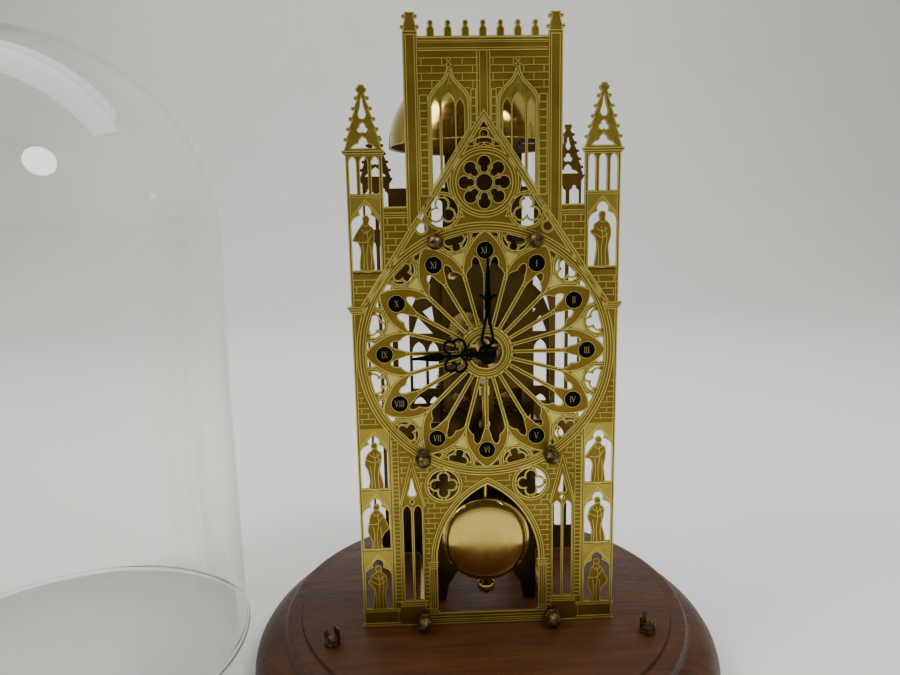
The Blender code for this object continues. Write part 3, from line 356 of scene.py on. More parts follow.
class Raised:
    """Collects raised strips on a plate, and makes one mesh of them."""

    def __init__(self, front=LINE_FRONT, back=FIELD_FRONT + 0.1):
        self.verts, self.faces = [], []
        self.front, self.back = front, back

    def strip(self, points, near, far, closed):
        """A strip between two offsets to the right of a path. On a closed path, right is outside."""
        points = clean_path(points, closed)
        count = len(points)
        bevel = min(0.10, (far - near) * 0.2)
        section = ((near, self.back), (near + bevel, self.front), (far - bevel, self.front),
                   (far, self.back))
        first = len(self.verts)
        for i, (x, z) in enumerate(points):
            before = points[i - 1] if closed or i > 0 else None
            after = points[(i + 1) % count] if closed or i < count - 1 else None
            nx, nz = rightwards(before, (x, z), after)
            self.verts += [place(x + nx * offset, depth, z + nz * offset) for offset, depth in section]
        for i in range(count if closed else count - 1):
            a, b = first + 4 * i, first + 4 * ((i + 1) % count)
            for k in range(4):
                m = (k + 1) % 4
                self.faces.append((a + k, a + m, b + m, b + k))
        if not closed:
            last = first + 4 * (count - 1)
            self.faces.append((first, first + 1, first + 2, first + 3))
            self.faces.append((last + 3, last + 2, last + 1, last))

    def line(self, points, width, closed=False):
        self.strip(points, -width / 2, width / 2, closed)

    def level(self, x0, x1, z, width):
        self.line([(x0, z), (x1, z)], width)

    def upright(self, x, z0, z1, width):
        self.line([(x, z0), (x, z1)], width)

    def rim(self, shape, width):
        self.strip(shape, 0.0, width, True)

    def rings(self, centre, sizes, sides):
        for radius, width in sizes:
            self.line(circle(centre, radius, sides), width, True)

    def ladder(self, x0, x1, z0, z1, pitch, width=0.55):
        for x in (x0, x1):
            self.upright(x, z0, z1, width)
        rungs = int((z1 - z0) / pitch)
        for i in range(rungs + 1):
            self.level(x0, x1, z0 + i * (z1 - z0) / rungs, width)

    def courses(self, zone, blocked, top, pitch=COURSE, joint=9.5, width=0.5, clear=0.9):
        """Brick courses inside a zone, kept clear of the blocked shapes."""
        left, right = min(x for x, _ in zone), max(x for x, _ in zone)
        step, least, lap = 0.25, 1.5, 0.2
        spots = np.append(np.arange(left, right, step), right + 1)
        for row, z in enumerate(np.arange(top, min(z for _, z in zone), -pitch)):
            good = free_places(spots, np.full_like(spots, z + 0.001), zone, blocked, clear)
            good[-1] = False
            for start, end in stretches(spots, good):
                if end - start > least:
                    self.level(start - lap, end - step + lap, z, width)
            joints = np.arange(left + (joint / 2 if row % 2 else 0.0) + 1.3, right, joint)
            for depth in (0.3, pitch - 0.3):
                joints = joints[free_places(joints, np.full_like(joints, z - depth), zone, blocked, clear)]
            for x in joints:
                self.upright(x, z - pitch, z, width)

    def build(self, name, material, body="frame"):
        work = bmesh.new()
        verts = [work.verts.new(v) for v in self.verts]
        for face in self.faces:
            work.faces.new([verts[i] for i in face])
        return new_object(name, finish_mesh(work, name, 20.0), material, body)


# ---------------- materials

class Shader:
    """A Principled material with short calls for its procedural nodes."""

    def __init__(self, name, colour, roughness, metallic=0.0, **sockets):
        self.material = bpy.data.materials.new(name)
        self.material.use_nodes = True
        self.tree = self.material.node_tree
        self.shader = self.tree.nodes["Principled BSDF"]
        self.set("Base Color", (*colour, 1.0))
        self.set("Roughness", roughness)
        self.set("Metallic", metallic)
        for key, value in sockets.items():
            self.set(key.replace("_", " "), value)
        self.coords = self.tree.nodes.new("ShaderNodeTexCoord")

    def set(self, socket, value):
        self.shader.inputs[socket].default_value = value

    def noise(self, scale, detail, stretch=(1.0, 1.0, 1.0), distortion=0.0):
        mapping = self.tree.nodes.new("ShaderNodeMapping")
        mapping.inputs["Scale"].default_value = stretch
        self.tree.links.new(self.coords.outputs["Object"], mapping.inputs["Vector"])
        node = self.tree.nodes.new("ShaderNodeTexNoise")
        node.inputs["Scale"].default_value = scale
        node.inputs["Detail"].default_value = detail
        node.inputs["Distortion"].default_value = distortion
        self.tree.links.new(mapping.outputs["Vector"], node.inputs["Vector"])
        return node.outputs["Fac"]

    def ramp(self, source, stops):
        node = self.tree.nodes.new("ShaderNodeValToRGB")
        elements = node.color_ramp.elements
        while len(elements) < len(stops):
            elements.new(0.5)
        for element, (position, colour) in zip(elements, stops):
            element.position = position
            element.color = (*colour, 1.0)
        self.tree.links.new(source, node.inputs["Fac"])
        return node.outputs["Color"]

    def spread(self, source, low, high):
        """The source's usual 0.3 to 0.7, mapped to low to high."""
        node = self.tree.nodes.new("ShaderNodeMapRange")
        node.inputs["From Min"].default_value = 0.3
        node.inputs["From Max"].default_value = 0.7
        node.inputs["To Min"].default_value = low
        node.inputs["To Max"].default_value = high
        self.tree.links.new(source, node.inputs["Value"])
        return node.outputs["Result"]

    def height(self, low, high):
        """0 below the low height and 1 above the high one, about the piece's own origin."""
        split = self.tree.nodes.new("ShaderNodeSeparateXYZ")
        self.tree.links.new(self.coords.outputs["Object"], split.inputs["Vector"])
        node = self.tree.nodes.new("ShaderNodeMapRange")
        node.inputs["From Min"].default_value = low
        node.inputs["From Max"].default_value = high
        self.tree.links.new(split.outputs["Z"], node.inputs["Value"])
        return node.outputs["Result"]

    def blend(self, amount, source, colour):
        """The source's colour, going over to another by the amount."""
        node = self.tree.nodes.new("ShaderNodeMix")
        node.data_type = "RGBA"
        for socket in node.inputs:
            if socket.type == "RGBA" and socket.name == "B":
                socket.default_value = (*colour, 1.0)
            if socket.type == "RGBA" and socket.name == "A":
                self.tree.links.new(source, socket)
        self.tree.links.new(amount, node.inputs["Factor"])
        return next(out for out in node.outputs if out.type == "RGBA")

    def link(self, source, socket):
        self.tree.links.new(source, self.shader.inputs[socket])

    def bump(self, source, strength, distance):
        node = self.tree.nodes.new("ShaderNodeBump")
        node.inputs["Strength"].default_value = strength
        node.inputs["Distance"].default_value = distance
        self.tree.links.new(source, node.inputs["Height"])
        self.tree.links.new(node.outputs["Normal"], self.shader.inputs["Normal"])


def brass(name, dark, light, roughness, grain_stretch, grain, bump):
    """Brass whose colour and gloss drift a little, with a fine grain."""
    s = Shader(name, light, roughness, 1.0)
    drift = s.noise(35.0, 5.0)
    s.link(s.ramp(drift, [(0.30, dark), (0.70, light)]), "Base Color")
    fine = s.noise(grain, 2.0, grain_stretch)
    s.link(s.spread(fine, roughness * 0.75, roughness * 1.25), "Roughness")
    s.bump(fine, bump, 0.0002)
    return s.material


def etched_field():
    return brass("etched_field", (0.18, 0.112, 0.016), (0.28, 0.188, 0.030), 0.45, (0.5, 1.0, 1.4), 5200.0,
                 0.22)


def plain_field():
    return brass("plain_field", (0.36, 0.265, 0.045), (0.47, 0.355, 0.065), 0.36, (1.0, 1.0, 0.1), 4200.0,
                 0.08)


def raised_gold():
    return brass("raised_gold", (0.60, 0.52, 0.12), (0.76, 0.66, 0.18), 0.44, (1.0, 1.0, 1.0), 9000.0, 0.02)


def numeral_gold():
    return brass("numeral_gold", (0.34, 0.27, 0.08), (0.46, 0.37, 0.12), 0.5, (1.0, 1.0, 1.0), 9000.0, 0.02)


def dark_brass():
    # Painted shade: brass darkened to brown for the shadowed rear facade plate and the inside of the bell;
    # the parts in the dark_brass slot take it too.
    return brass("painted_shade_dark_brass", (0.10, 0.055, 0.014), (0.20, 0.12, 0.03), 0.42, (0.2, 1.0, 1.0), 900.0,
                 0.10)


def nut_brass():
    """Browned brass with darker spots."""
    s = Shader("nut_brass", (0.26, 0.17, 0.07), 0.34, 1.0)
    spots = s.noise(420.0, 6.0)
    s.link(s.ramp(spots,
                  [(0.36, (0.035, 0.022, 0.012)), (0.55, (0.17, 0.11, 0.05)), (0.72, (0.34, 0.24, 0.11))]),
           "Base Color")
    s.link(s.spread(spots, 0.62, 0.40), "Roughness")
    s.bump(spots, 0.12, 0.0003)
    return s.material


def bearing_plate():
    """Smooth rolled brass of the plates that carry the wheels, a little tarnished, going over to a painted
    shade of dark brown above 14 mm from the floor.
    """
    s = Shader("bearing_plate_painted_shade", (0.34, 0.24, 0.06), 0.22, 1.0)
    stain = s.noise(28.0, 6.0, (1.0, 1.0, 0.6), 0.6)
    rolled = s.ramp(stain,
                    [(0.30, (0.34, 0.24, 0.06)), (0.52, (0.52, 0.39, 0.11)), (0.75, (0.66, 0.51, 0.17))])
    # Painted shade: from 4 mm below to 14 mm above the floor the colour goes over to dark brown, so the
    # plates above it look shadowed.
    s.link(s.blend(s.height(-0.004, 0.014), rolled, (0.11, 0.072, 0.018)), "Base Color")
    s.link(s.spread(stain, 0.46, 0.26), "Roughness")
    s.bump(s.noise(1500.0, 2.0, (0.1, 1.0, 1.0)), 0.04, 0.0002)
    return s.material


def polished_brass():
    return brass("polished_brass", (0.60, 0.43, 0.10), (0.72, 0.54, 0.15), 0.15, (1.0, 1.0, 0.2), 260.0,
                 0.012)


def bell_brass():
    """Spun brass: rings of fine turning marks and a dull film."""
    s = Shader("bell_brass", (0.60, 0.43, 0.11), 0.18, 1.0)
    film = s.noise(40.0, 5.0, (1.0, 1.0, 0.5))
    s.link(s.ramp(film, [(0.3, (0.50, 0.36, 0.08)), (0.7, (0.66, 0.49, 0.13))]), "Base Color")
    rings = s.noise(500.0, 2.0, (0.02, 0.02, 1.0))
    s.link(s.spread(rings, 0.12, 0.24), "Roughness")
    s.bump(rings, 0.03, 0.0002)
    return s.material


def wheel_brass():
    return brass("wheel_brass", (0.62, 0.44, 0.13), (0.82, 0.62, 0.22), 0.26, (1.0, 1.0, 1.0), 700.0, 0.04)


def steel():
    s = Shader("machined_steel", (0.42, 0.42, 0.43), 0.28, 1.0)
    fine = s.noise(1200.0, 2.0, (1.0, 0.1, 1.0))
    s.link(s.ramp(fine, [(0.3, (0.30, 0.30, 0.31)), (0.7, (0.50, 0.50, 0.50))]), "Base Color")
    s.link(s.spread(fine, 0.20, 0.38), "Roughness")
    return s.material


def black_lacquer():
    s = Shader("black_lacquer", (0.002, 0.002, 0.002), 0.30, Specular_IOR_Level=0.04)
    drift = s.noise(220.0, 3.0)
    s.link(s.ramp(drift, [(0.3, (0.0008, 0.001, 0.001)), (0.7, (0.003, 0.0035, 0.0035))]), "Base Color")
    s.link(s.spread(drift, 0.22, 0.42), "Roughness")
    return s.material


def mahogany():
    """Straight-grained dark red wood under a satin varnish, with rubbed spots."""
    s = Shader("mahogany", (0.06, 0.019, 0.005), 0.46, Specular_IOR_Level=0.34, Coat_Weight=0.03,
               Coat_Roughness=0.30)
    grain = s.noise(70.0, 8.0, (0.22, 2.2, 2.2), 0.5)
    wood = s.ramp(grain,
                  [(0.25, (0.034, 0.011, 0.003)), (0.5, (0.056, 0.018, 0.005)),
                   (0.78, (0.088, 0.031, 0.008))])
    worn = s.ramp(s.noise(17.0, 9.0, (0.6, 2.4, 2.4), 1.4),
                  [(0.70, (0.0, 0.0, 0.0)), (0.76, (0.55, 0.55, 0.55))])
    s.link(s.blend(worn, wood, (0.20, 0.10, 0.055)), "Base Color")
    pores = s.noise(900.0, 4.0, (0.12, 1.0, 1.0))
    s.link(s.spread(pores, 0.34, 0.58), "Roughness")
    s.bump(pores, 0.16, 0.0003)
    return s.material


def clear_glass():
    s = Shader("clear_glass", (0.985, 0.995, 0.99), 0.0, 0.0, Transmission_Weight=1.0, IOR=1.45)
    s.link(s.spread(s.noise(8.0, 2.0), 0.0, 0.01), "Roughness")
    return s.material


class Finish:
    """Every material, made once."""
    field = etched_field()
    plain = plain_field()
    gold = raised_gold()
    numeral = numeral_gold()
    dark = dark_brass()
    nut = nut_brass()
    bearing = bearing_plate()
    polished = polished_brass()
    bell = bell_brass()
    wheel = wheel_brass()
    steel = steel()
    black = black_lacquer()
    wood = mahogany()
    glass = clear_glass()


# ---------------- facade: openings

def gable_z(x, above=0.0):
    return GABLE_APEX - GABLE_SLOPE * abs(x) + above


def tower_lancets():
    """Three lights of a belfry window, which end on the gable."""
    lights = ((9.2, 12.8, 116.0, 120.0), (13.5, 19.4, 117.2, 122.6), (20.8, 24.2, 116.0, 120.0))
    return [pointed(x0, x1, gable_z(x0, 0.8), gable_z(x1, 0.8), spring, apex)
            for x0, x1, spring, apex in lights]


def hood_outline():
    """The ogee hood over a belfry window, down to the gable."""
    right = [(0.0, 135.0), (0.9, 131.6), (2.6, 128.6), (5.2, 126.0), (7.6, 123.4), (9.1, 120.6),
             (9.5, 117.0)]
    side = smooth(right, 3, False)
    left = [(-u, z) for u, z in reversed(side[1:])]
    shape = [(u + WINDOW_X, z) for u, z in left[:-1] + side]
    low_left = (WINDOW_X - 9.5, gable_z(WINDOW_X - 9.5, 0.8))
    low_right = (WINDOW_X + 9.5, gable_z(WINDOW_X + 9.5, 0.8))
    return [low_left] + shape + [low_right]


def rose_petals():
    """Round-headed openings that narrow towards the rose's hub."""
    petal = [(-1.25, 5.1), (1.25, 5.1), (2.1, 7.3)]
    petal += arc((0.0, 9.35), 2.95, -42.0, 222.0, 12) + [(-2.1, 7.3)]
    return [moved(turned_about(petal, 45.0 * i), *ROSE) for i in range(8)]


def foil_window(centre, lobes, reach, radius, ring_r):
    """Foil tracery in a round window: the opening inside the foil, and those between foil and ring."""
    band = 0.95
    shapes = [foiled(centre, lobes, reach, radius)]
    outer = foiled(centre, lobes, reach, radius + band, 10)
    share = len(outer) // lobes
    for i in range(lobes):
        middle_at = (i * share) % len(outer)
        run = [outer[(middle_at + k) % len(outer)] for k in range(-share // 2, share // 2 + 1)]
        run = [p for p in run if math.dist(p, centre) < ring_r - 0.35]
        ends = [math.atan2(p[1] - centre[1], p[0] - centre[0]) for p in (run[0], run[-1])]
        first, last = (math.degrees(end) for end in ends)
        sweep = (last - first) % 360.0
        shapes.append(run + [polar(centre, ring_r, last - sweep * k / 8) for k in range(9)])
    return shapes


def gable_openings():
    shapes = rose_petals() + [circle(ROSE, 3.85, 32)]
    shapes.append(foiled((0.0, 102.0), 3, 2.3, 1.85))
    shapes.append([(-2.0, 106.9), (0.0, 107.4), (2.0, 106.9), (0.0, 111.0)])
    shapes += both_sides([[(4.6, 98.9), (8.3, 99.0), (5.7, 102.8)]])
    shapes += both_sides(foil_window((20.3, 68.8), 3, 3.5, 2.75, 7.5) + [circle((30.4, 61.0), 2.2, 20)])
    shapes += both_sides([[(16.9, 77.3), (21.4, 78.2), (18.1, 83.2)],
                          [(11.3, 68.6), (14.3, 66.0), (10.4, 66.2)],
                          [(28.2, 70.6), (30.0, 64.8), (31.9, 66.2)]])
    return shapes


def slit():
    """The opening right of the twelve o'clock spoke, up to its flame-shaped head."""
    head = [(0.95, 38.2), (1.5, 40.3), (2.1, 41.9), (2.5, 43.1), (2.9, 44.7), (3.7, 46.2), (4.8, 46.9),
            (5.8, 46.1), (6.4, 44.6), (6.35, 43.2), (6.6, 42.0), (7.5, 41.3), (8.3, 40.2), (9.0, 38.8),
            (9.15, 37.4)]
    spoke = turned_about([(-0.95, 36.6), (-0.95, 13.4)], -15.0)
    return [(0.95, 13.3)] + smooth(head, 2, False) + spoke


def dial_openings():
    foil = smooth([(0.0, 51.4), (1.6, 52.1), (1.9, 53.8), (1.6, 55.0), (3.3, 55.1), (4.7, 56.5),
                   (4.3, 58.3)], 2, False)
    foil = foil + [(-x, z) for x, z in reversed(foil[1:])]
    crescent = [(2.9, 52.0), (4.7, 53.0), (5.9, 54.7), (6.3, 56.6), (5.8, 56.9), (5.2, 55.4), (3.6, 54.2),
                (2.9, 53.4)]
    corner = [(2.4, 58.5), (6.0, 58.3), (6.2, 56.4), (5.6, 54.9), (4.4, 56.4)]
    shapes = []
    for hour in range(12):
        turn = -30.0 * hour
        shapes += [turned_about(shape, turn) for shape in both_sides([slit(), corner])]
        shapes += [turned_about(shape, turn - 15.0) for shape in both_sides([crescent]) + [foil]]
    return shapes


def spire_openings():
    drop = smooth([(0.0, 121.4), (0.8, 117.0), (1.7, 114.0), (1.2, 112.3), (0.0, 111.8), (-1.2, 112.3),
                   (-1.7, 114.0), (-0.8, 117.0)], 3)
    arch = [(-5.4, 98.5), (5.4, 98.5), (4.4, 99.8), (2.1, 100.7), (1.6, 102.3), (0.0, 103.7), (-1.6, 102.3),
            (-2.1, 100.7), (-4.4, 99.8)]
    trefoil = foiled((0.0, 107.4), 3, 1.2, 1.25)
    return [moved(shape, TURRET_X, 0.0) for shape in (drop, arch, trefoil)]


def colonnade():
    bays = ((49.8, 53.2), (55.0, 58.6), (60.4, 63.8))
    return [pointed(x0, x1, 77.6, 77.6, 91.8, 94.6, 4) for x0, x1 in bays]


def niches():
    return [trefoil_head(50.2, 63.8, floor, floor + rise)
            for floor, rise in NICHES]


def lower_openings():
    shapes = foil_window((22.3, -68.3), 4, 4.0, 2.45, 7.7)
    shapes += [pointed(33.7, 37.8, -131.0, -131.0, -82.5, -78.8),
               pointed(39.2, 43.3, -131.0, -131.0, -82.5, -78.8)]
    shapes.append(smooth([(38.5, -64.6), (39.4, -69.0), (40.5, -72.6), (39.6, -74.0), (37.4, -74.0),
                          (36.5, -72.6), (37.6, -69.0)], 3))
    shapes.append([(38.5, -75.4), (39.5, -76.7), (38.5, -78.0), (37.5, -76.7)])
    return shapes


def door_outline(grow=0.0):
    return pointed(-DOOR_HALF - grow, DOOR_HALF + grow, -138.6, -138.6, DOOR_SPRING, DOOR_APEX + 1.12 * grow,
                   16)


def all_openings():
    shapes = both_sides(tower_lancets() + spire_openings() + colonnade() + niches() + lower_openings())
    return shapes + gable_openings() + dial_openings() + [door_outline(), circle((0.0, 0.0), 8.0, 48)]


# ---------------- facade: outline

def crocket(x, z):
    """A round leaf on a sloping or upright edge, from below."""
    return [(x + u, z + v) for u, v in arc((0.55, 0.0), 0.95, -125.0, 125.0, 7)]


def spire_side():
    """The right edge of a spire from cornice to finial, about its own axis."""
    points = [(SPIRE_HALF, CORNICE_Z)]
    for i in range(5):
        z = CORNICE_Z + 4.9 + 4.65 * i
        half = SPIRE_HALF - (z - CORNICE_Z) * (SPIRE_HALF - 1.5) / (SPIRE_TOP - CORNICE_Z)
        points += crocket(half, z)
    return points + [(1.5, SPIRE_TOP), (1.9, 123.6), (2.5, 124.4), (2.4, 125.4), (1.6, 125.9), (1.3, 127.0)]


def pinnacle():
    """The tower pilaster's top, right edge and back down its left."""
    right = [(3.5, 149.4), (3.3, 150.3)] + crocket(3.0, 151.9) + [(2.3, 155.0)] + crocket(2.2, 156.5)
    right += [(2.3, 157.7), (2.4, CROWN)]
    return about_axis((TOWER_IN + TOWER_OUT) / 2, right)


def merlon(x):
    """Square foot, collar, neck and round top."""
    right = [(1.85, 148.0), (1.85, 151.2), (1.4, 151.5), (1.4, 152.0), (0.9, 152.3), (1.25, 153.0),
             (1.3, 153.8), (1.0, 154.6), (0.4, 154.9)]
    return about_axis(x, right)


def facade_outline():
    right = [(EDGE_X, FOOT), (EDGE_X, 20.0), (66.2, 21.4), (CORNICE_X, 23.0), (CORNICE_X, 23.9),
             (EDGE_X, 24.2), (EDGE_X, 94.8), (66.2, 95.6), (67.0, 96.6), (66.9, CORNICE_Z)]
    right += about_axis(TURRET_X, spire_side())
    right += [(46.8, CORNICE_Z), (46.8, 96.6), (47.4, 95.6), (TURRET_IN, 94.8), (TURRET_IN, 71.4),
              (TOWER_OUT, 71.4)]
    right += pinnacle() + [(TOWER_IN, 148.0)]
    parapet = []
    for i in range(7):
        parapet += merlon((3 - i) * MERLON_PITCH)
    return right + parapet + mirrored(right)


# ---------------- facade: raised work

def tower_edges(work, side):
    """Upright lines and brick ladders of one half of the tower."""
    for x in (TOWER_IN + 0.5, TOWER_OUT - 0.5, TOWER_IN + 1.5, TOWER_OUT - 1.5):
        work.upright(side * x, gable_z(x, 0.5) if x < 34 else 60.5, 148.6, 0.55)
    for z in (148.6, 150.0):
        work.level(side * TOWER_IN, side * TOWER_OUT, z, 0.6)
    for x, width in ((3.0, 0.6), (1.7, 0.45)):
        work.upright(side * x, gable_z(x), 141.6, width)
    work.ladder(side * 26.2, side * 29.8, 76.0, 122.0, 3.3)
    work.ladder(side * 3.6, side * 5.9, 109.5, 124.4, 3.3)


def hood_finial(work, x):
    """Ball and cross on a belfry hood, and the small fork below its point."""
    work.rim(circle((x, 137.7), 0.6, 12), 0.6)
    work.line([(x - 1.9, 134.6), (x - 0.5, 135.8), (x + 0.5, 135.8), (x + 1.9, 134.6)], 0.8)
    work.upright(x, 134.4, 136.8, 0.8)
    work.line([(x - 1.1, 126.6), (x, 127.6), (x + 1.1, 126.6)], 0.35)
    work.upright(x, 127.6, 129.0, 0.35)


def tower_bricks(work, side):
    top = 141.4
    zone = [(3.2, top), (TOWER_IN - 0.2, top), (TOWER_IN - 0.2, gable_z(30, 0.5)), (3.2, gable_z(3.2, 0.5))]
    blocked = [hood_outline(), rectangle(25.9, 30.2, 60.0, 122.2), rectangle(3.0, 6.2, 104.0, 124.6)]
    work.courses(on_side(side, zone), [on_side(side, shape) for shape in blocked], top - 3.1, clear=0.5)


def tower_lines():
    work = Raised()
    for z, width in ((147.3, 0.9), (145.9, 0.6), (145.1, 0.4), (142.6, 0.5), (141.6, 0.7)):
        work.level(-TOWER_IN, TOWER_IN, z, width)
    for shape in both_sides([hood_outline()]):
        work.strip(shape, -1.0, -0.3, True)
        work.strip(shape, 0.0, 0.8, True)
    for side, _ in SIDES:
        tower_edges(work, side)
        hood_finial(work, side * WINDOW_X)
        tower_bricks(work, side)
    work.build("facade_lines_tower", Finish.gold)


def gable_lines():
    work = Raised()
    foot = (GABLE_APEX - 24.6) / GABLE_SLOPE
    for drop, width in ((0.4, 0.7), (2.3, 0.5), (3.2, 0.4), (5.0, 0.65)):
        low = gable_z(foot, -drop)
        work.line([(foot, low), (0.0, GABLE_APEX - drop), (-foot, low)], width)
    work.rings(ROSE, ((16.3, 0.6), (15.1, 0.5), (13.6, 0.6), (4.8, 0.5)), 72)
    for shape in rose_petals():
        work.rim(shape, 0.5)
    for i in range(8):
        for x in (2.35, -2.35):
            knot = circle((x, 7.25), 0.5, 10)
            work.rim(moved(turned_about(knot, 45.0 * i), *ROSE), 0.3)
    for side, _ in SIDES:
        work.rings((side * 20.3, 68.8), ((8.9, 0.5), (7.9, 0.5)), 48)
        work.rings((side * 30.4, 61.0), ((3.1, 0.5),), 24)
        work.line([(side * 9.6, 66.0), (side * 12.6, 66.6), (side * 15.4, 64.9)], 0.4)
    work.line(arc((0.0, 92.5), 10.2, 38, 142, 18), 0.5)
    work.line(arc((0.0, 92.5), 7.9, 52, 128, 14), 0.4)
    work.build("facade_lines_gable", Finish.gold)


def petal_side():
    return smooth([(9.75, 36.4), (10.55, 41.5), (9.5, 47.1), (7.0, 52.1), (3.7, 56.5), (0.0, 59.3)], 4,
                  False)


def spoke_lines(work, turn, reach, collar_z):
    """Two edges of a spoke, with a square collar near each end."""
    for x in (-0.66, 0.66):
        work.line(turned_about([(x, 12.8), (x, reach)], turn), 0.44)
    for half, z, width in ((0.6325, collar_z, 0.42), (0.575, 13.6, 0.4)):
        work.rim(turned_about(rectangle(-half, half, z - half, z + half), turn), width)


def window_arcs(work, turn):
    """Two arcs of the round window between two petals, inside the dial's ring."""
    for radius, width in ((8.1, 0.55), (7.0, 0.45)):
        sweep = arc((0.0, 58.4), radius, 172.0, 368.0, 24)
        sweep = [p for p in sweep if math.hypot(*p) < 59.6]
        work.line(turned_about(sweep, turn), width)


def dial_lines():
    work = Raised()
    work.rings((0.0, 0.0), ((59.45, 0.5), (60.6, 0.45), (62.1, 0.55), (63.4, 0.6)), 144)
    work.rings((0.0, 0.0), ((12.7, 0.6), (11.4, 0.5), (10.3, 0.45), (8.4, 0.6)), 144)
    side = petal_side()
    petal = [(-x, z) for x, z in side] + list(reversed(side[:-1]))
    outer = smooth([(10.9, 42.6), (10.1, 47.6), (7.8, 52.6), (5.0, 56.6)], 4, False)
    for hour in range(12):
        turn = -30.0 * hour
        work.line(turned_about(petal, turn), 0.6)
        for shape in both_sides([outer]):
            work.line(turned_about(shape, turn), 0.4)
        spoke_lines(work, turn, 38.4, 38.4)
        spoke_lines(work, turn - 15.0, JOIN_R - 0.8, JOIN_R)
        window_arcs(work, turn - 15.0)
    work.build("facade_lines_dial", Finish.gold)


def niche_lines(work, side):
    """Small gable over each niche, and the ledge below it."""
    for floor, rise in NICHES:
        apex = floor + rise + 2.7
        for drop, width in ((0.0, 0.6), (1.3, 0.4)):
            foot = apex - 7.7 - drop
            path = [(TURRET_X - 6.6, foot), (TURRET_X, apex - drop), (TURRET_X + 6.6, foot)]
            work.line([(side * x, z) for x, z in path], width)
        for x in (TURRET_X - 6.2, TURRET_X + 6.2):
            work.level(side * x - 1.1, side * x + 1.1, apex - 8.2, 0.55)
        for z in (floor - 0.6, floor - 1.6):
            work.level(side * 49.6, side * 64.2, z, 0.45)


def turret_bricks(work, side):
    below = [(50.4, 39.2), (63.6, 39.2), (63.6, 24.6), (60.9, 24.6), (50.4, 40.0)]
    wall = [(TOWER_OUT + 0.4, 66.0), (TURRET_IN - 0.2, 66.0), (TURRET_IN - 0.2, 43.9),
            (TOWER_OUT + 0.4, 60.1)]
    for zone in (below, wall):
        work.courses(on_side(side, zone), [], max(z for _, z in zone), 3.2, 7.5, clear=0.3)


def turret_lines(side, name):
    work = Raised()
    for x in (TURRET_IN + 0.4, TURRET_IN + 1.5, EDGE_X - 0.4, EDGE_X - 1.4):
        work.upright(side * x, 24.0 if x > 60 else gable_z(x, 0.4), 95.2, 0.5)
    for z, width in ((97.1, 0.7), (95.9, 0.6), (94.9, 0.4), (76.9, 0.55), (75.9, 0.35)):
        reach = 0.6 if z > 95.5 else -0.4
        work.level(side * (TURRET_IN - reach), side * (EDGE_X + reach), z, width)
    for z, reach in ((23.5, 67.2), (22.4, 66.6), (21.3, 66.0), (20.3, 65.4)):
        work.level(side * 58.8, side * reach, z, 0.55)
    for x in (53.4, 54.8, 58.8, 60.2):
        work.upright(side * x, 77.4, 92.6, 0.35)
    for z in (40.8, 39.9):
        work.level(side * 50.0, side * 64.0, z, 0.45)
    for z, width in ((70.9, 0.7), (68.4, 0.6), (67.3, 0.4), (66.2, 0.6)):
        work.level(side * TOWER_OUT, side * TURRET_IN, z, width)
    niche_lines(work, side)
    turret_bricks(work, side)
    work.build("facade_lines_turret_" + name, Finish.gold)


def door_lines(work):
    """Mouldings round the doorway's head, and the sill."""
    for grow, width in ((0.5, 0.7), (1.9, 0.45), (3.0, 0.6)):
        work.line([p for p in door_outline(grow)[2:] if p[1] > -112.0], width)
    for z, width in ((-139.1, 0.8), (-140.9, 0.5), (-142.4, 0.5), (-143.5, 0.5), (-144.8, 0.7)):
        work.level(-31.0, 31.0, z, width)


def door_column(work, side):
    """Column beside the doorway, and the brick ladder next to it."""
    for z, x0, x1 in ((-110.2, 25.6, 31.6), (-111.4, 26.0, 31.0), (-112.6, 26.0, 31.0), (-113.6, 26.4, 30.4),
                      (-136.4, 26.2, 30.6), (-137.6, 25.4, 31.2)):
        work.level(side * x0, side * x1, z, 0.6)
    for x in (26.7, 27.9, 28.9, 29.9):
        work.upright(side * x, -136.4, -113.6, 0.4)
    work.ladder(side * 30.6, side * 32.9, -136.0, -113.0, 2.1, 0.42)


def flank_lines(work, side):
    """Brick ladder, turret edges, and rings of the round window."""
    work.ladder(side * 45.0, side * 48.0, -131.5, -44.0, 2.15, 0.42)
    for x in (TURRET_IN + 0.5, TURRET_IN + 1.5, EDGE_X - 0.4, EDGE_X - 1.4):
        work.upright(side * x, -135.0, 20.0 if x > 60 else -40.0, 0.5)
    work.rings((side * 22.3, -68.3), ((8.2, 0.55), (9.4, 0.5)), 48)


def twin_lancet_lines(work, side):
    """Steep gable, shafts and sill of the paired lancets."""
    for drop, width in ((0.0, 0.55), (2.6, 0.45)):
        path = [(31.9 + drop * 0.3, -79.5), (38.5, -53.6 - 2.0 * drop), (45.1 - drop * 0.3, -79.5)]
        work.line([(side * x, z) for x, z in path], width)
    for x in (33.2, 38.5, 43.8):
        for shift in (-0.35, 0.35):
            work.upright(side * (x + shift), -131.0, -79.4, 0.3)
    for z, x0, x1 in ((-131.8, 31.6, 46.2), (-133.0, 32.2, 45.8), (-134.2, 32.2, 45.8)):
        work.level(side * x0, side * x1, z, 0.55)


def plinth_lines(work, side):
    for z, reach in ((-135.7, 1.2), (-136.8, 0.6), (-143.4, 0.6), (-144.6, 1.4)):
        work.level(side * (46.6 - reach * 0.5), side * (EDGE_X + reach * 0.6), z, 0.6)
    for x in (47.2, 64.6):
        work.upright(side * x, -143.4, -136.8, 0.5)


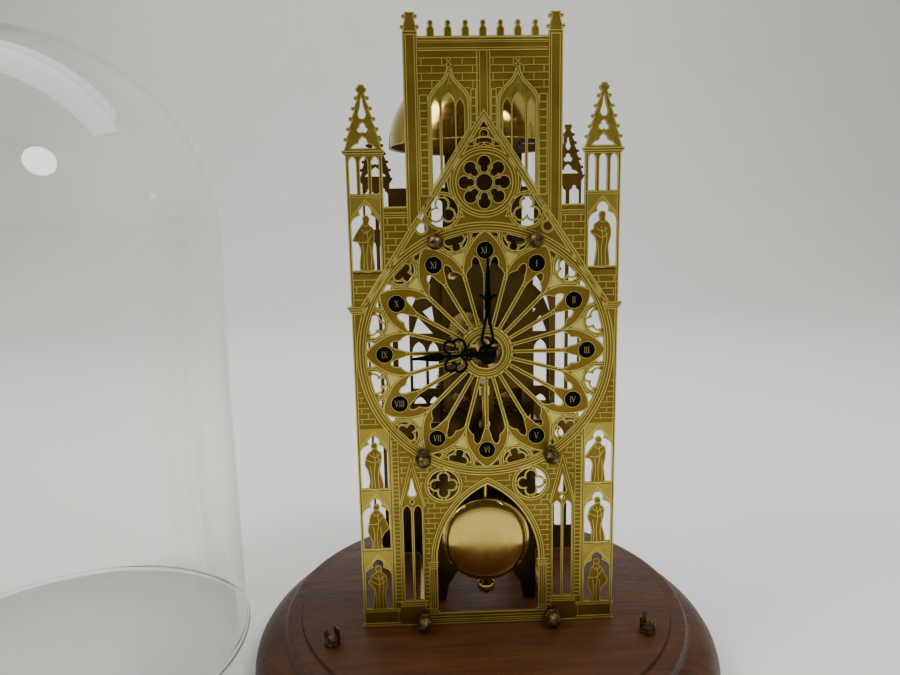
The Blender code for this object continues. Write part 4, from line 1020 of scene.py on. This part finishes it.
def lower_bricks(work, side):
    """Brick courses beside the doorway, and beside the dial."""
    ring = circle((0.0, 0.0), 64.2, 96)
    shapes = [circle((22.3, -68.3), 10.0, 40), [(31.4, -81.0), (38.5, -52.4), (45.6, -81.0)]]
    shapes += [rectangle(32.6, 44.6, -134.0, -78.0), rectangle(44.7, 48.4, -140.0, -40.0),
               rectangle(49.0, 66.0, -140.0, -38.4), rectangle(25.0, 33.2, -140.0, -109.6)]
    blocked = [ring, door_outline(3.4)] + [on_side(side, shape) for shape in shapes]
    wall = [(0.3, -64.5), (0.3, -66.0), (33.0, -113.0), (33.0, -82.0), (48.0, -80.0), (48.0, -43.0),
            (30.0, -57.0)]
    work.courses(on_side(side, wall), blocked, -44.6, 2.75, 6.5, 0.42, 0.6)
    niche_top = [(49.0, -37.0), (56.8, -37.9), (64.0, -37.0), (64.0, -60.0), (49.0, -60.0)]
    flank = [(63.6, 18.0), (63.6, -37.6), (49.6, -37.6), (49.6, -20.0)]
    work.courses(on_side(side, flank), [ring, on_side(side, niche_top)], 17.0, 2.75, 6.5, 0.42, 0.5)


def lower_lines():
    work = Raised()
    door_lines(work)
    for side, _ in SIDES:
        for draw in (door_column, flank_lines, twin_lancet_lines, plinth_lines, lower_bricks):
            draw(work, side)
    work.build("facade_lines_lower", Finish.gold)


def opening_rims(openings):
    work = Raised(front=0.02)
    for shape in openings:
        work.rim(shape, 0.5)
    work.strip(facade_outline(), -0.6, 0.0, True)
    work.build("facade_rims", Finish.gold)


def smooth_patch(name, side, outline, holes=()):
    """A smooth unetched field that stands a little proud of the etched ground."""
    plate(name, on_side(side, outline), [on_side(side, hole) for hole in holes], PATCH_FRONT,
          FIELD_FRONT + 0.1, Finish.plain, "frame")


def patches():
    spire = about_axis(TURRET_X, spire_side())
    for side, name in SIDES:
        smooth_patch("hood_field_" + name, side, hood_outline(), tower_lancets())
        smooth_patch("spire_field_" + name, side, spire, spire_openings())
        for i, (floor, rise) in enumerate(NICHES):
            spring = floor + rise - 9.5
            head = [p for p in niches()[i] if p[1] > spring]
            ceiling = floor + rise + 4.0 if i else 76.6
            field = [(49.8, spring), (49.8, ceiling), (63.8, ceiling), (63.8, spring)] + head
            smooth_patch(f"niche_field_{name}_{i}", side, field)


def spandrels():
    """Twelve light triangles between the petals."""
    tip = [(0.0, 43.8), (1.2, 46.6), (3.3, 50.2), (1.4, 49.9), (-1.4, 49.9), (-3.3, 50.2), (-1.2, 46.6)]
    for hour in range(12):
        shape = turned_about(tip, -30.0 * hour - 15.0)
        plate(f"spandrel_{hour}", shape, [], PATCH_FRONT, FIELD_FRONT + 0.1, Finish.gold, "frame")


# ---------------- numerals, statues

NUMERALS = ("XII", "I", "II", "III", "IV", "V", "VI", "VII", "VIII", "IX", "X", "XI")
GLYPH_WIDTH = {"I": 0.95, "V": 2.1, "X": 2.1}
GLYPH_HALF = 1.5


def glyph(work, letter, x, z):
    top, foot = z + GLYPH_HALF, z - GLYPH_HALF
    half = GLYPH_WIDTH[letter] / 2 - 0.1
    if letter == "I":
        work.line([(x, foot), (x, top)], 0.42)
        serifs = [(x, foot), (x, top)]
    elif letter == "V":
        work.line([(x - half + 0.2, top), (x, foot)], 0.46)
        work.line([(x + half - 0.2, top), (x, foot)], 0.22)
        serifs = [(x - half + 0.2, top), (x + half - 0.2, top)]
    else:
        work.line([(x - half + 0.2, top), (x + half - 0.2, foot)], 0.46)
        work.line([(x + half - 0.2, top), (x - half + 0.2, foot)], 0.22)
        serifs = [(x + sx * (half - 0.2), sz) for sx in (1, -1) for sz in (top, foot)]
    for sx, sz in serifs:
        work.line([(sx - 0.38, sz), (sx + 0.38, sz)], 0.16)


def numeral_discs():
    letters = Raised(front=-0.42, back=-0.20)
    rims = Raised(front=-0.36, back=0.2)
    profile = [(0.0, -0.28), (DISC_R - 0.15, -0.28), (DISC_R, -0.16), (DISC_R, 0.5), (0.0, 0.5)]
    for hour, text in enumerate(NUMERALS):
        centre = polar((0.0, 0.0), NUMERAL_R, 90.0 - 30.0 * hour)
        turned(f"numeral_disc_{hour if hour else 12}", profile, place(centre[0], 0.0, centre[1]),
               Finish.black, "frame", sides=48)
        rims.rim(circle(centre, DISC_R - 0.05, 48), 0.32)
        x = centre[0] - sum(GLYPH_WIDTH[letter] for letter in text) / 2
        for letter in text:
            glyph(letters, letter, x + GLYPH_WIDTH[letter] / 2, centre[1])
            x += GLYPH_WIDTH[letter]
    letters.build("numerals", Finish.numeral)
    rims.build("numeral_rims", Finish.gold)


FIGURES = ([(-3.3, -0.6), (3.4, -0.6), (3.1, 4.0), (2.7, 9.0), (3.4, 12.6), (5.3, 14.6), (5.6, 16.0),
            (4.2, 17.0), (3.9, 19.0), (1.7, 20.4), (1.3, 21.3), (1.8, 22.9), (1.0, 24.5), (-0.6, 24.7),
            (-1.7, 23.4), (-1.4, 21.4), (-1.9, 20.4), (-3.8, 18.6), (-4.4, 14.0), (-3.2, 9.0), (-3.6, 4.0)],
           [(-3.0, -0.6), (3.2, -0.6), (3.4, 4.0), (3.0, 9.0), (3.9, 14.0), (3.6, 18.4), (1.7, 20.2),
            (1.4, 21.2), (1.8, 22.8), (1.1, 24.3), (-0.4, 24.6), (-1.6, 23.4), (-1.4, 21.4), (-2.2, 20.2),
            (-4.0, 18.0), (-6.2, 14.4), (-6.6, 13.0), (-4.4, 12.4), (-2.9, 9.0), (-3.5, 4.0)],
           [(-3.6, -0.6), (3.0, -0.6), (2.8, 4.5), (3.6, 9.5), (5.0, 12.8), (4.6, 16.2), (3.4, 18.8),
            (1.6, 20.3), (1.2, 21.3), (1.7, 22.9), (0.9, 24.3), (-0.7, 24.5), (-1.7, 23.2), (-1.5, 21.3),
            (-2.0, 20.2), (-3.6, 18.4), (-3.4, 14.0), (-2.6, 9.0), (-3.9, 4.0)],
           [(-2.6, -0.6), (2.6, -0.6), (2.2, 4.0), (3.4, 8.0), (5.8, 10.6), (6.0, 12.2), (4.6, 15.4),
            (3.2, 18.6), (1.6, 20.3), (1.2, 21.3), (1.7, 22.9), (0.9, 24.3), (-0.7, 24.5), (-1.7, 23.2),
            (-1.5, 21.3), (-2.0, 20.2), (-3.4, 18.4), (-4.2, 14.0), (-4.8, 9.0), (-2.6, 4.0)])
FOLDS = ([[(-1.9, 0.2), (-1.6, 7.0), (-2.4, 13.0), (-1.2, 18.6)],
          [(0.0, 0.2), (0.4, 8.0), (-0.3, 14.0), (0.5, 19.0)], [(1.8, 0.2), (1.6, 6.0), (2.4, 12.0)],
          [(-3.0, 15.4), (0.0, 13.6), (4.4, 15.6)], [(-2.6, 18.0), (0.0, 16.4), (2.8, 18.2)],
          [(-1.2, 21.6), (0.0, 20.8), (1.2, 21.6)]],
         [[(-1.7, 0.2), (-1.3, 7.0), (-1.9, 12.0)], [(0.2, 0.2), (0.0, 8.0), (0.9, 14.0), (0.2, 19.0)],
          [(1.9, 0.2), (2.2, 6.0), (1.7, 12.0)], [(2.8, 17.0), (0.0, 13.4), (-4.6, 13.6)],
          [(-2.2, 19.4), (0.0, 17.6), (2.2, 19.4)], [(-1.2, 21.6), (0.0, 20.8), (1.2, 21.6)]])


def statues():
    """Robed figures in the niches, each with a plain small head."""
    folds = Raised(front=0.06)
    for side, name in SIDES:
        axis = side * TURRET_X
        for i, (floor, _) in enumerate(NICHES):
            kind = i if side > 0 else (i + 1) % 4
            flip = side if i % 2 else -side
            stretch = 0.98 if i else 1.06
            figure = [(axis + flip * u, floor + v * stretch) for u, v in smooth(FIGURES[kind], 3)]
            plate(f"statue_{name}_{i + 1}", ccw(figure), [], PATCH_FRONT, PLATE_THICK - 0.1, Finish.field,
                  "frame")
            folds.strip(figure, -0.42, 0.0, True)
            for fold in FOLDS[kind % 2]:
                folds.line(smooth([(axis + flip * u, floor + v) for u, v in fold], 3, False), 0.44)
    folds.build("statue_folds", Finish.gold)


# ---------------- rear facade plate

REAR_FRONT = (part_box("rear_facade_plate")[0][1] - FACE_Y) / MM
REAR_BACK = (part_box("rear_facade_plate")[1][1] - FACE_Y) / MM
REAR_EDGE, REAR_AXIS, REAR_CORNICE, REAR_APEX = 64.8, 56.8, 90.0, 118.8


def rear_outline():
    """Low wall between two turrets with crocketed spires."""
    side = [(9.0, REAR_CORNICE)]
    for i in range(5):
        z = REAR_CORNICE + 4.4 + 4.65 * i
        side += crocket(9.0 - (z - REAR_CORNICE) * 7.6 / 26.5, z)
    side += [(1.3, REAR_APEX - 3.0), (2.1, REAR_APEX - 1.8), (2.1, REAR_APEX)]
    right = [(REAR_EDGE, FOOT), (REAR_EDGE, 86.3), (66.6, 89.2), (66.6, REAR_CORNICE)]
    right += about_axis(REAR_AXIS, side)
    right += [(46.9, REAR_CORNICE), (46.9, 89.2), (48.8, 86.3), (48.8, 83.8)]
    return right + mirrored(right)


def rear_windows():
    """The openings on the right half."""
    great = [(22.0, -47.0), (46.5, -47.0), (46.5, 4.0)]
    great += arc((0.0, 4.0), 46.5, 2.0, 60.0, 20) + [(22.0, 43.0)]
    shapes = [great, trefoil_head(18.0, 24.4, 60.5, 78.8), trefoil_head(29.0, 36.6, 57.0, 78.8),
              pointed(38.0, 45.2, -108.0, -108.0, -92.0, -85.0)]
    for x0, x1 in ((49.9, 55.6), (57.8, 63.5)):
        shapes.append(trefoil_head(x0, x1, 60.0, 84.0))
        shapes += [pointed(x0, x1, -58.0, -58.0, 49.0, 55.0), pointed(x0, x1, -130.0, -130.0, -70.0, -64.0)]
    arch = [(-6.2, 90.8), (6.2, 90.8), (5.0, 92.2), (2.4, 93.0), (1.9, 94.8), (0.0, 96.2), (-1.9, 94.8),
            (-2.4, 93.0), (-5.0, 92.2)]
    drop = smooth([(0.0, 112.0), (0.8, 108.6), (1.5, 106.2), (0.0, 104.2), (-1.5, 106.2), (-0.8, 108.6)], 3)
    shapes += [moved(shape, REAR_AXIS, 0.0) for shape in (arch, foiled((0.0, 99.6), 3, 1.3, 1.4), drop)]
    return shapes


def rear_facade():
    """The plate with its openings, and raised work on its outer, rear face."""
    openings = both_sides(rear_windows()) + [pointed(-20.0, 20.0, -138.0, -138.0, -95.0, -66.0, 16)]
    x, z = ((value - base) / MM for value, base in zip(middle("winding_arbor")[::2], (DIAL_X, DIAL_Z)))
    # Painted shade: the rear sheet takes the dark brass, as its inner face stands in shadow.
    plate("rear_sheet", rear_outline(), openings + [circle((x, z), 2.5, 32)], REAR_FRONT, REAR_BACK - 0.3,
          Finish.dark, "frame", ("rear_facade_plate",))
    work = Raised(front=REAR_BACK, back=REAR_BACK - 0.4)
    for shape in openings:
        work.rim(shape, 0.7)
    work.strip(rear_outline(), -0.8, 0.0, True)
    for side in (1, -1):
        for level in (87.6, 88.8, 58.4, 57.0, -60.0, -62.0, -133.0, -135.0, -143.0):
            work.line([(side * 49.2, level), (side * 64.6, level)], 0.5)
        for edge in (48.9, 47.6):
            work.line([(side * edge, -143.0), (side * edge, 83.0)], 0.5)
    for level in (82.6, 81.4):
        work.line([(-48.6, level), (48.6, level)], 0.6)
    zone = [(-47.0, 80.0), (-47.0, -143.0), (47.0, -143.0), (47.0, 80.0)]
    blocked = openings + [circle((0.0, z), 10.5, 32), circle((13.4, -20.4), 10.0, 24)]
    work.courses(zone, blocked, 79.0, 4.2, 11.0, 0.5, 1.2)
    work.build("rear_lines", Finish.gold)


# ---------------- other plates and pieces

def facade():
    openings = all_openings()
    plate("facade_sheet", facade_outline(), openings, FIELD_FRONT, PLATE_THICK, Finish.field, "frame",
          ("facade_plate",))
    opening_rims(openings)
    tower_lines()
    gable_lines()
    dial_lines()
    for side, name in SIDES:
        turret_lines(side, name)
    lower_lines()
    patches()
    spandrels()
    numeral_discs()
    statues()


def carried_over():
    """A material on every CAD node. It shows on those whose shape stays."""
    slots = {"etched_brass": Finish.field, "dark_brass": Finish.dark, "polished_brass": Finish.polished,
             "cut_brass": Finish.wheel, "steel": Finish.steel, "black_lacquer": Finish.black,
             "mahogany": Finish.wood, "clear_glass": Finish.glass}
    for entry in frame["record"]["subparts"]:
        node = frame["nodes"][entry["node"]]
        node.data.materials.clear()
        finish = slots[entry["material_slot"]]
        if entry["node"] in ("front_movement_plate", "rear_movement_plate", "barrel_cover"):
            finish = Finish.bearing
        if entry["node"].startswith("levelling_screw"):
            finish = Finish.nut
        node.data.materials.append(finish)


def centre_of(node):
    """The CAD node's middle in x and z, as a place at depth 0."""
    spot = middle(node)
    return Vector((spot[0], FACE_Y, spot[2]))


def depth_of(node):
    low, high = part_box(node)
    return (low[1] - FACE_Y) / MM, (high[1] - FACE_Y) / MM


def acorn_nuts():
    """Hexagon below, turned dome above."""
    for name in ("top_left", "top_right", "mid_left", "mid_right", "foot_left", "foot_right"):
        node = "acorn_nut_" + name
        spot = centre_of(node)
        tip, seat = depth_of(node)
        work = bmesh.new()
        turned_mesh(work,
                    [(0.0, seat), (3.75, seat), (3.9, seat - 0.3), (3.9, seat - 2.6), (3.6, seat - 2.9),
                     (0.0, seat - 2.9)], spot, sides=6)
        dome = [(0.0, seat - 2.5), (3.0, seat - 2.5), (3.0, seat - 3.1), (3.3, seat - 3.3)]
        dome += [(3.85 * math.cos(a), seat - 5.4 - (seat - 5.4 - tip) * math.sin(a)) for a in
                 (math.radians(-25 + 105 * i / 9) for i in range(10))]
        dome.append((0.0, tip))
        turned_mesh(work, dome, spot, sides=40)
        mesh = finish_mesh(work, "acorn_" + name, 32.0)
        new_object("acorn_" + name, mesh, Finish.nut, "frame", (node,))


def base():
    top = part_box("wooden_base")[1][2] / MM
    disc, widest = 101.7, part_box("wooden_base")[1][0] / MM
    profile = [(0.0, top), (disc - 0.8, top), (disc - 0.2, top - 0.25), (disc, top - 0.8),
               (disc + 0.3, top - 1.9), (108.2, top - 2.0), (109.2, top - 2.4), (110.0, top - 3.4),
               (110.6, top - 5.0), (110.7, top - 7.6), (111.4, top - 8.4), (113.2, top - 9.2),
               (117.0, top - 10.6), (120.6, top - 12.6), (123.8, top - 15.6), (126.2, top - 19.4),
               (widest - 0.2, top - 23.0), (widest, top - 25.0), (widest - 0.3, top - 27.2),
               (126.4, top - 29.6), (125.0, top - 31.6), (123.0, 0.3), (122.4, 0.0), (0.0, 0.0)]
    turned("turned_base", profile, Vector((0.0, 0.0, 0.0)), Finish.wood, "frame", ("wooden_base",), "Z", 192,
           angle=40.0)


def bell():
    low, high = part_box("bell")
    centre = Vector(((low[0] + high[0]) / 2, (low[1] + high[1]) / 2, low[2]))
    outer_r = (high[0] - low[0]) / 2 / MM - 0.2
    crown = math.radians(82.0)
    rise = ((high[2] - low[2]) / MM - 0.6) / math.sin(crown)
    angles = [crown * i / 20 for i in range(21)]
    outer = [(outer_r * math.cos(a), 0.6 + rise * math.sin(a)) for a in angles]
    inner = [((outer_r - 1.3) * math.cos(a), 0.6 + (rise - 1.3) * math.sin(a)) for a in reversed(angles)]
    outer.append((3.0, outer[-1][1]))
    inner.insert(0, (3.0, inner[0][1]))
    rim = [(outer_r - 0.7, 0.05), (outer_r + 0.1, 0.05), (outer_r + 0.2, 0.4)]
    shell = turned("bell_shell", rim + outer + inner, centre, Finish.bell, "frame", ("bell",), "Z", 96, True,
                   40.0)
    # Painted shade: the faces that look into the bell take the dark brass.
    shell.data.materials.append(Finish.dark)
    for face in shell.data.polygons:
        spot = face.center - centre
        facing_in = face.normal.x * spot.x + face.normal.y * spot.y + face.normal.z * spot.z < 0
        face.material_index = 1 if facing_in else 0


def pendulum():
    low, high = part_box("pendulum_bob")
    centre = Vector(middle("pendulum_bob"))
    radius, half = (high[0] - low[0]) / 2 / MM, (high[1] - low[1]) / 2 / MM
    shares = [math.sin(math.pi / 2 * i / 18) for i in range(19)]
    front = [(radius * t, -0.7 - (half - 0.7) * (1.0 - t ** 4) ** (1 / 3)) for t in shares]
    back = [(r, -along) for r, along in reversed(front)]
    turned("bob_lens", front + back, centre, Finish.polished, "pendulum", ("pendulum_bob",), sides=96,
           angle=50.0)
    nut = Vector(middle("rating_nut"))
    profile = [(1.3, -1.3), (3.6, -1.0), (3.8, 1.8), (4.0, 2.25), (4.3, 2.25), (4.5, 1.8), (4.5, -1.0),
               (4.1, -1.7), (3.2, -2.25), (1.3, -2.25)]
    turned("rating_ring", profile, nut, Finish.polished, "rating", ("rating_nut",), "Z", 64, True)


def glass():
    low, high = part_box("glass_dome")
    centre = Vector(((low[0] + high[0]) / 2, (low[1] + high[1]) / 2, 0.0))
    bead = (high[0] - low[0]) / 2 / MM
    radius = bead - 1.9
    spring = high[2] / MM - radius
    inner_r = radius - 2.2
    rim = [(inner_r, 1.2), (inner_r + 0.5, 0.4), (inner_r + 1.4, 0.0), (bead - 1.2, 0.1), (bead - 0.3, 0.7),
           (bead, 1.8), (bead - 0.4, 3.0), (radius + 0.4, 4.2), (radius, 5.2)]
    angles = [math.pi / 2 * i / 28 for i in range(28)]
    outer = [(radius * math.cos(a), spring + radius * math.sin(a)) for a in angles]
    outer.append((0.0, spring + radius))
    inner = [(inner_r * math.cos(a), spring + inner_r * math.sin(a)) for a in reversed(angles)]
    inner.insert(0, (0.0, spring + inner_r))
    turned("dome_shell", rim + outer + inner, centre, Finish.glass, "dome", ("glass_dome",), "Z", 128, True,
           60.0)


MINUTE_TILT, MINUTE_DEPTHS = -0.8, (-8.0, -7.2)
HOUR_TILT, HOUR_DEPTHS = 93.0, (-4.4, -3.5)
HUB_R = 4.4


def stems(work, tilt, rods):
    """Straight parts of a hand, each as (start, end, width) along it."""
    for start, end, width in rods:
        work.line(turned_about([(0.0, start), (0.0, end)], tilt), width)


def minute_hand():
    """A long teardrop loop, a small cross-piece and a thin tip."""
    work = Raised(*MINUTE_DEPTHS)
    teardrop = smooth([(0.0, 4.4), (2.4, 6.2), (2.5, 9.2), (1.5, 14.0), (0.3, 20.4), (-0.3, 20.4),
                       (-1.5, 14.0), (-2.5, 9.2), (-2.4, 6.2)], 4)
    work.line(turned_about(teardrop, MINUTE_TILT), 1.5, True)
    stems(work, MINUTE_TILT, ((19.5, 41.0, 2.3), (40.0, 46.0, 1.5), (45.0, 54.3, 0.95), (22.4, 30.4, 3.2)))
    cross = smooth([(-4.2, 28.6), (-2.8, 28.9), (-1.6, 27.4), (0.0, 26.6), (1.6, 27.4), (2.8, 28.9),
                    (4.2, 28.6)], 3, False)
    work.line(turned_about(cross, MINUTE_TILT), 1.2)
    work.build("minute_blade", Finish.black, "minute")
    front, back = MINUTE_DEPTHS[0] - 0.15, MINUTE_DEPTHS[1] + 0.1
    hub = [(0.0, front), (HUB_R - 0.2, front), (HUB_R - 0.2, back), (0.0, back)]
    turned("minute_hub", hub, place(0.0, 0.0, 0.0), Finish.black, "minute", ("minute_hand",), sides=48)


def hour_hand():
    """Two curled clover loops about a stem, and a leaf-shaped tip."""
    work = Raised(*HOUR_DEPTHS)
    collar = [(0.6, 7.6), (2.1, 8.0), (2.3, 9.3), (1.0, 10.2)]
    loop = [(0.7, 12.6), (2.6, 10.6), (5.4, 10.3), (7.7, 11.9), (8.0, 14.3), (6.9, 16.0), (7.5, 17.9),
            (6.4, 20.0), (4.0, 20.6), (1.9, 19.4), (0.8, 17.4)]
    curl = [(6.9, 16.0), (5.0, 15.1), (3.4, 15.9), (3.7, 17.4)]
    leaf = [(0.3, 21.0), (1.5, 24.0), (1.1, 28.0), (0.35, 32.5), (0.0, 36.4)]
    for side, _ in SIDES:
        for bend, width in ((collar, 1.3), (loop, 1.35), (curl, 1.0), (leaf, 1.2)):
            path = smooth([(side * u, v) for u, v in bend], 3, False)
            work.line(turned_about(path, HOUR_TILT), width)
    stems(work, HOUR_TILT, ((3.0, 9.9, 2.6), (9.0, 22.0, 1.5), (20.5, 31.0, 2.2)))
    work.build("hour_blade", Finish.black, "hour")
    front, back = HOUR_DEPTHS[0] - 0.1, HOUR_DEPTHS[1] + 0.1
    hub = [(2.9, front), (HUB_R, front), (HUB_R, back), (2.9, back)]
    turned("hour_hub", hub, place(0.0, 0.0, 0.0), Finish.black, "hour", ("hour_hand",), sides=48,
           closed=True)


def boss():
    tip, seat = depth_of("hand_nut")
    dome = [(0.0, seat), (4.4, seat), (4.4, seat - 0.6)]
    dome += [(4.3 * math.cos(a), seat - 0.7 - (seat - 0.7 - tip) * math.sin(a)) for a in
             (math.pi / 2 * i / 10 for i in range(11))]
    turned("domed_boss", dome[:-1] + [(0.0, tip)], place(0.0, 0.0, 0.0), Finish.black, "minute",
           ("hand_nut",), sides=64)


# ---------------- room, lights, camera

def stage_material(name, colour, roughness):
    s = Shader(name, colour, roughness)
    drift = s.noise(6.0, 3.0)
    lighter = tuple(min(1.0, c * 1.03) for c in colour)
    s.link(s.ramp(drift, [(0.3, colour), (0.7, lighter)]), "Base Color")
    return s.material


def staged(name, verts, faces, material):
    mesh = bpy.data.meshes.new(name)
    mesh.from_pydata(verts, [], faces)
    mesh.shade_smooth()
    mesh.materials.append(material)
    obj = bpy.data.objects.new(name, mesh)
    bpy.context.scene.collection.objects.link(obj)


def sweep():
    """Pale floor that curves up into a wall behind."""
    half_width, front, back, height, bend, below = 6.0, -6.0, 2.5, 5.0, 1.0, 0.0002
    profile = [(front, 0.0), (back - bend, 0.0)]
    profile += [(back - bend + bend * math.sin(a), bend - bend * math.cos(a)) for a in
                (math.pi / 2 * i / 16 for i in range(1, 17))]
    profile.append((back, height))
    verts = [(x, y, z - below) for y, z in profile for x in (-half_width, half_width)]
    faces = [(2 * i, 2 * i + 1, 2 * i + 3, 2 * i + 2) for i in range(len(profile) - 1)]
    staged("studio_sweep", verts, faces, stage_material("pale_paint", (0.80, 0.80, 0.78), 0.42))


LAMP_COLOUR = (1.0, 0.99, 0.96)
ROOM_COLOUR, ROOM_LIGHT = (0.86, 0.86, 0.84, 1.0), 0.54
CLOCK_MIDDLE = (0.0, 0.0, 0.15)
# Name, place, aim, size, watts, shape, and whether the glass and the brass mirror it
LAMPS = (
    ("key_left", (-1.5, -0.5, 1.5), CLOCK_MIDDLE, (1.0, 1.0), 22.0, "DISK", True),
    ("fill_right", (0.76, -0.89, 1.26), CLOCK_MIDDLE, (0.44, 0.44), 10.0, "DISK", True),
    ("top_back", (0.0, 0.35, 1.8), (0.0, 0.4, 0.2), (2.4, 0.6), 22.0, "RECTANGLE", False),
    ("backdrop", (0.0, 1.1, 2.4), (0.0, 2.3, 0.8), (2.6, 0.6), 16.0, "RECTANGLE", False),
)


def area_light(name, spot, target, size, power, shape, mirrored_in_brass):
    light = bpy.data.lights.new(name, "AREA")
    light.shape = shape
    light.size, light.size_y = size
    light.energy = power
    light.color = LAMP_COLOUR
    obj = bpy.data.objects.new(name, light)
    obj.location = spot
    obj.rotation_euler = (Vector(target) - Vector(spot)).to_track_quat("-Z", "Y").to_euler()
    obj.visible_glossy = mirrored_in_brass
    bpy.context.scene.collection.objects.link(obj)


def dark_wall():
    """A dark sheet that paints the shade of the unlit side of the room, in front of the clock and above its
    table.
    """
    half_width, y, low, high = 6.0, -3.4, 0.45, 5.8
    verts = [(-half_width, y, low), (half_width, y, low), (half_width, y, high), (-half_width, y, high)]
    staged("dark_wall", verts, [(0, 1, 2, 3)], stage_material("painted_room_shade", (0.11, 0.10, 0.085), 0.9))


def lights():
    world = bpy.data.worlds.new("studio")
    world.use_nodes = True
    sockets = world.node_tree.nodes["Background"].inputs
    sockets["Color"].default_value = ROOM_COLOUR
    sockets["Strength"].default_value = ROOM_LIGHT
    bpy.context.scene.world = world
    for lamp in LAMPS:
        area_light(*lamp)


LENS = 27.82
CAMERA_SPOT = (-0.029395, -0.367505, 0.242172)
CAMERA_YAW, CAMERA_PITCH, CAMERA_ROLL = -0.0348, 0.1645, 0.0184


def camera():
    data = bpy.data.cameras.new("camera")
    data.lens = LENS
    data.sensor_width = 36.0
    data.clip_start = 0.01
    obj = bpy.data.objects.new("camera", data)
    turn = Matrix.Rotation(CAMERA_YAW, 3, "Z") @ Matrix.Rotation(-CAMERA_PITCH, 3, "X")
    turn = turn @ Matrix.Rotation(CAMERA_ROLL, 3, "Y")
    axes = Matrix((turn.col[0], turn.col[2], -turn.col[1])).transposed()
    obj.matrix_world = Matrix.Translation(CAMERA_SPOT) @ axes.to_4x4()
    bpy.context.scene.collection.objects.link(obj)
    bpy.context.scene.camera = obj


def main():
    carried_over()
    facade()
    acorn_nuts()
    base()
    bell()
    pendulum()
    glass()
    minute_hand()
    hour_hand()
    boss()
    rear_facade()
    sweep()
    dark_wall()
    lights()
    camera()


main()
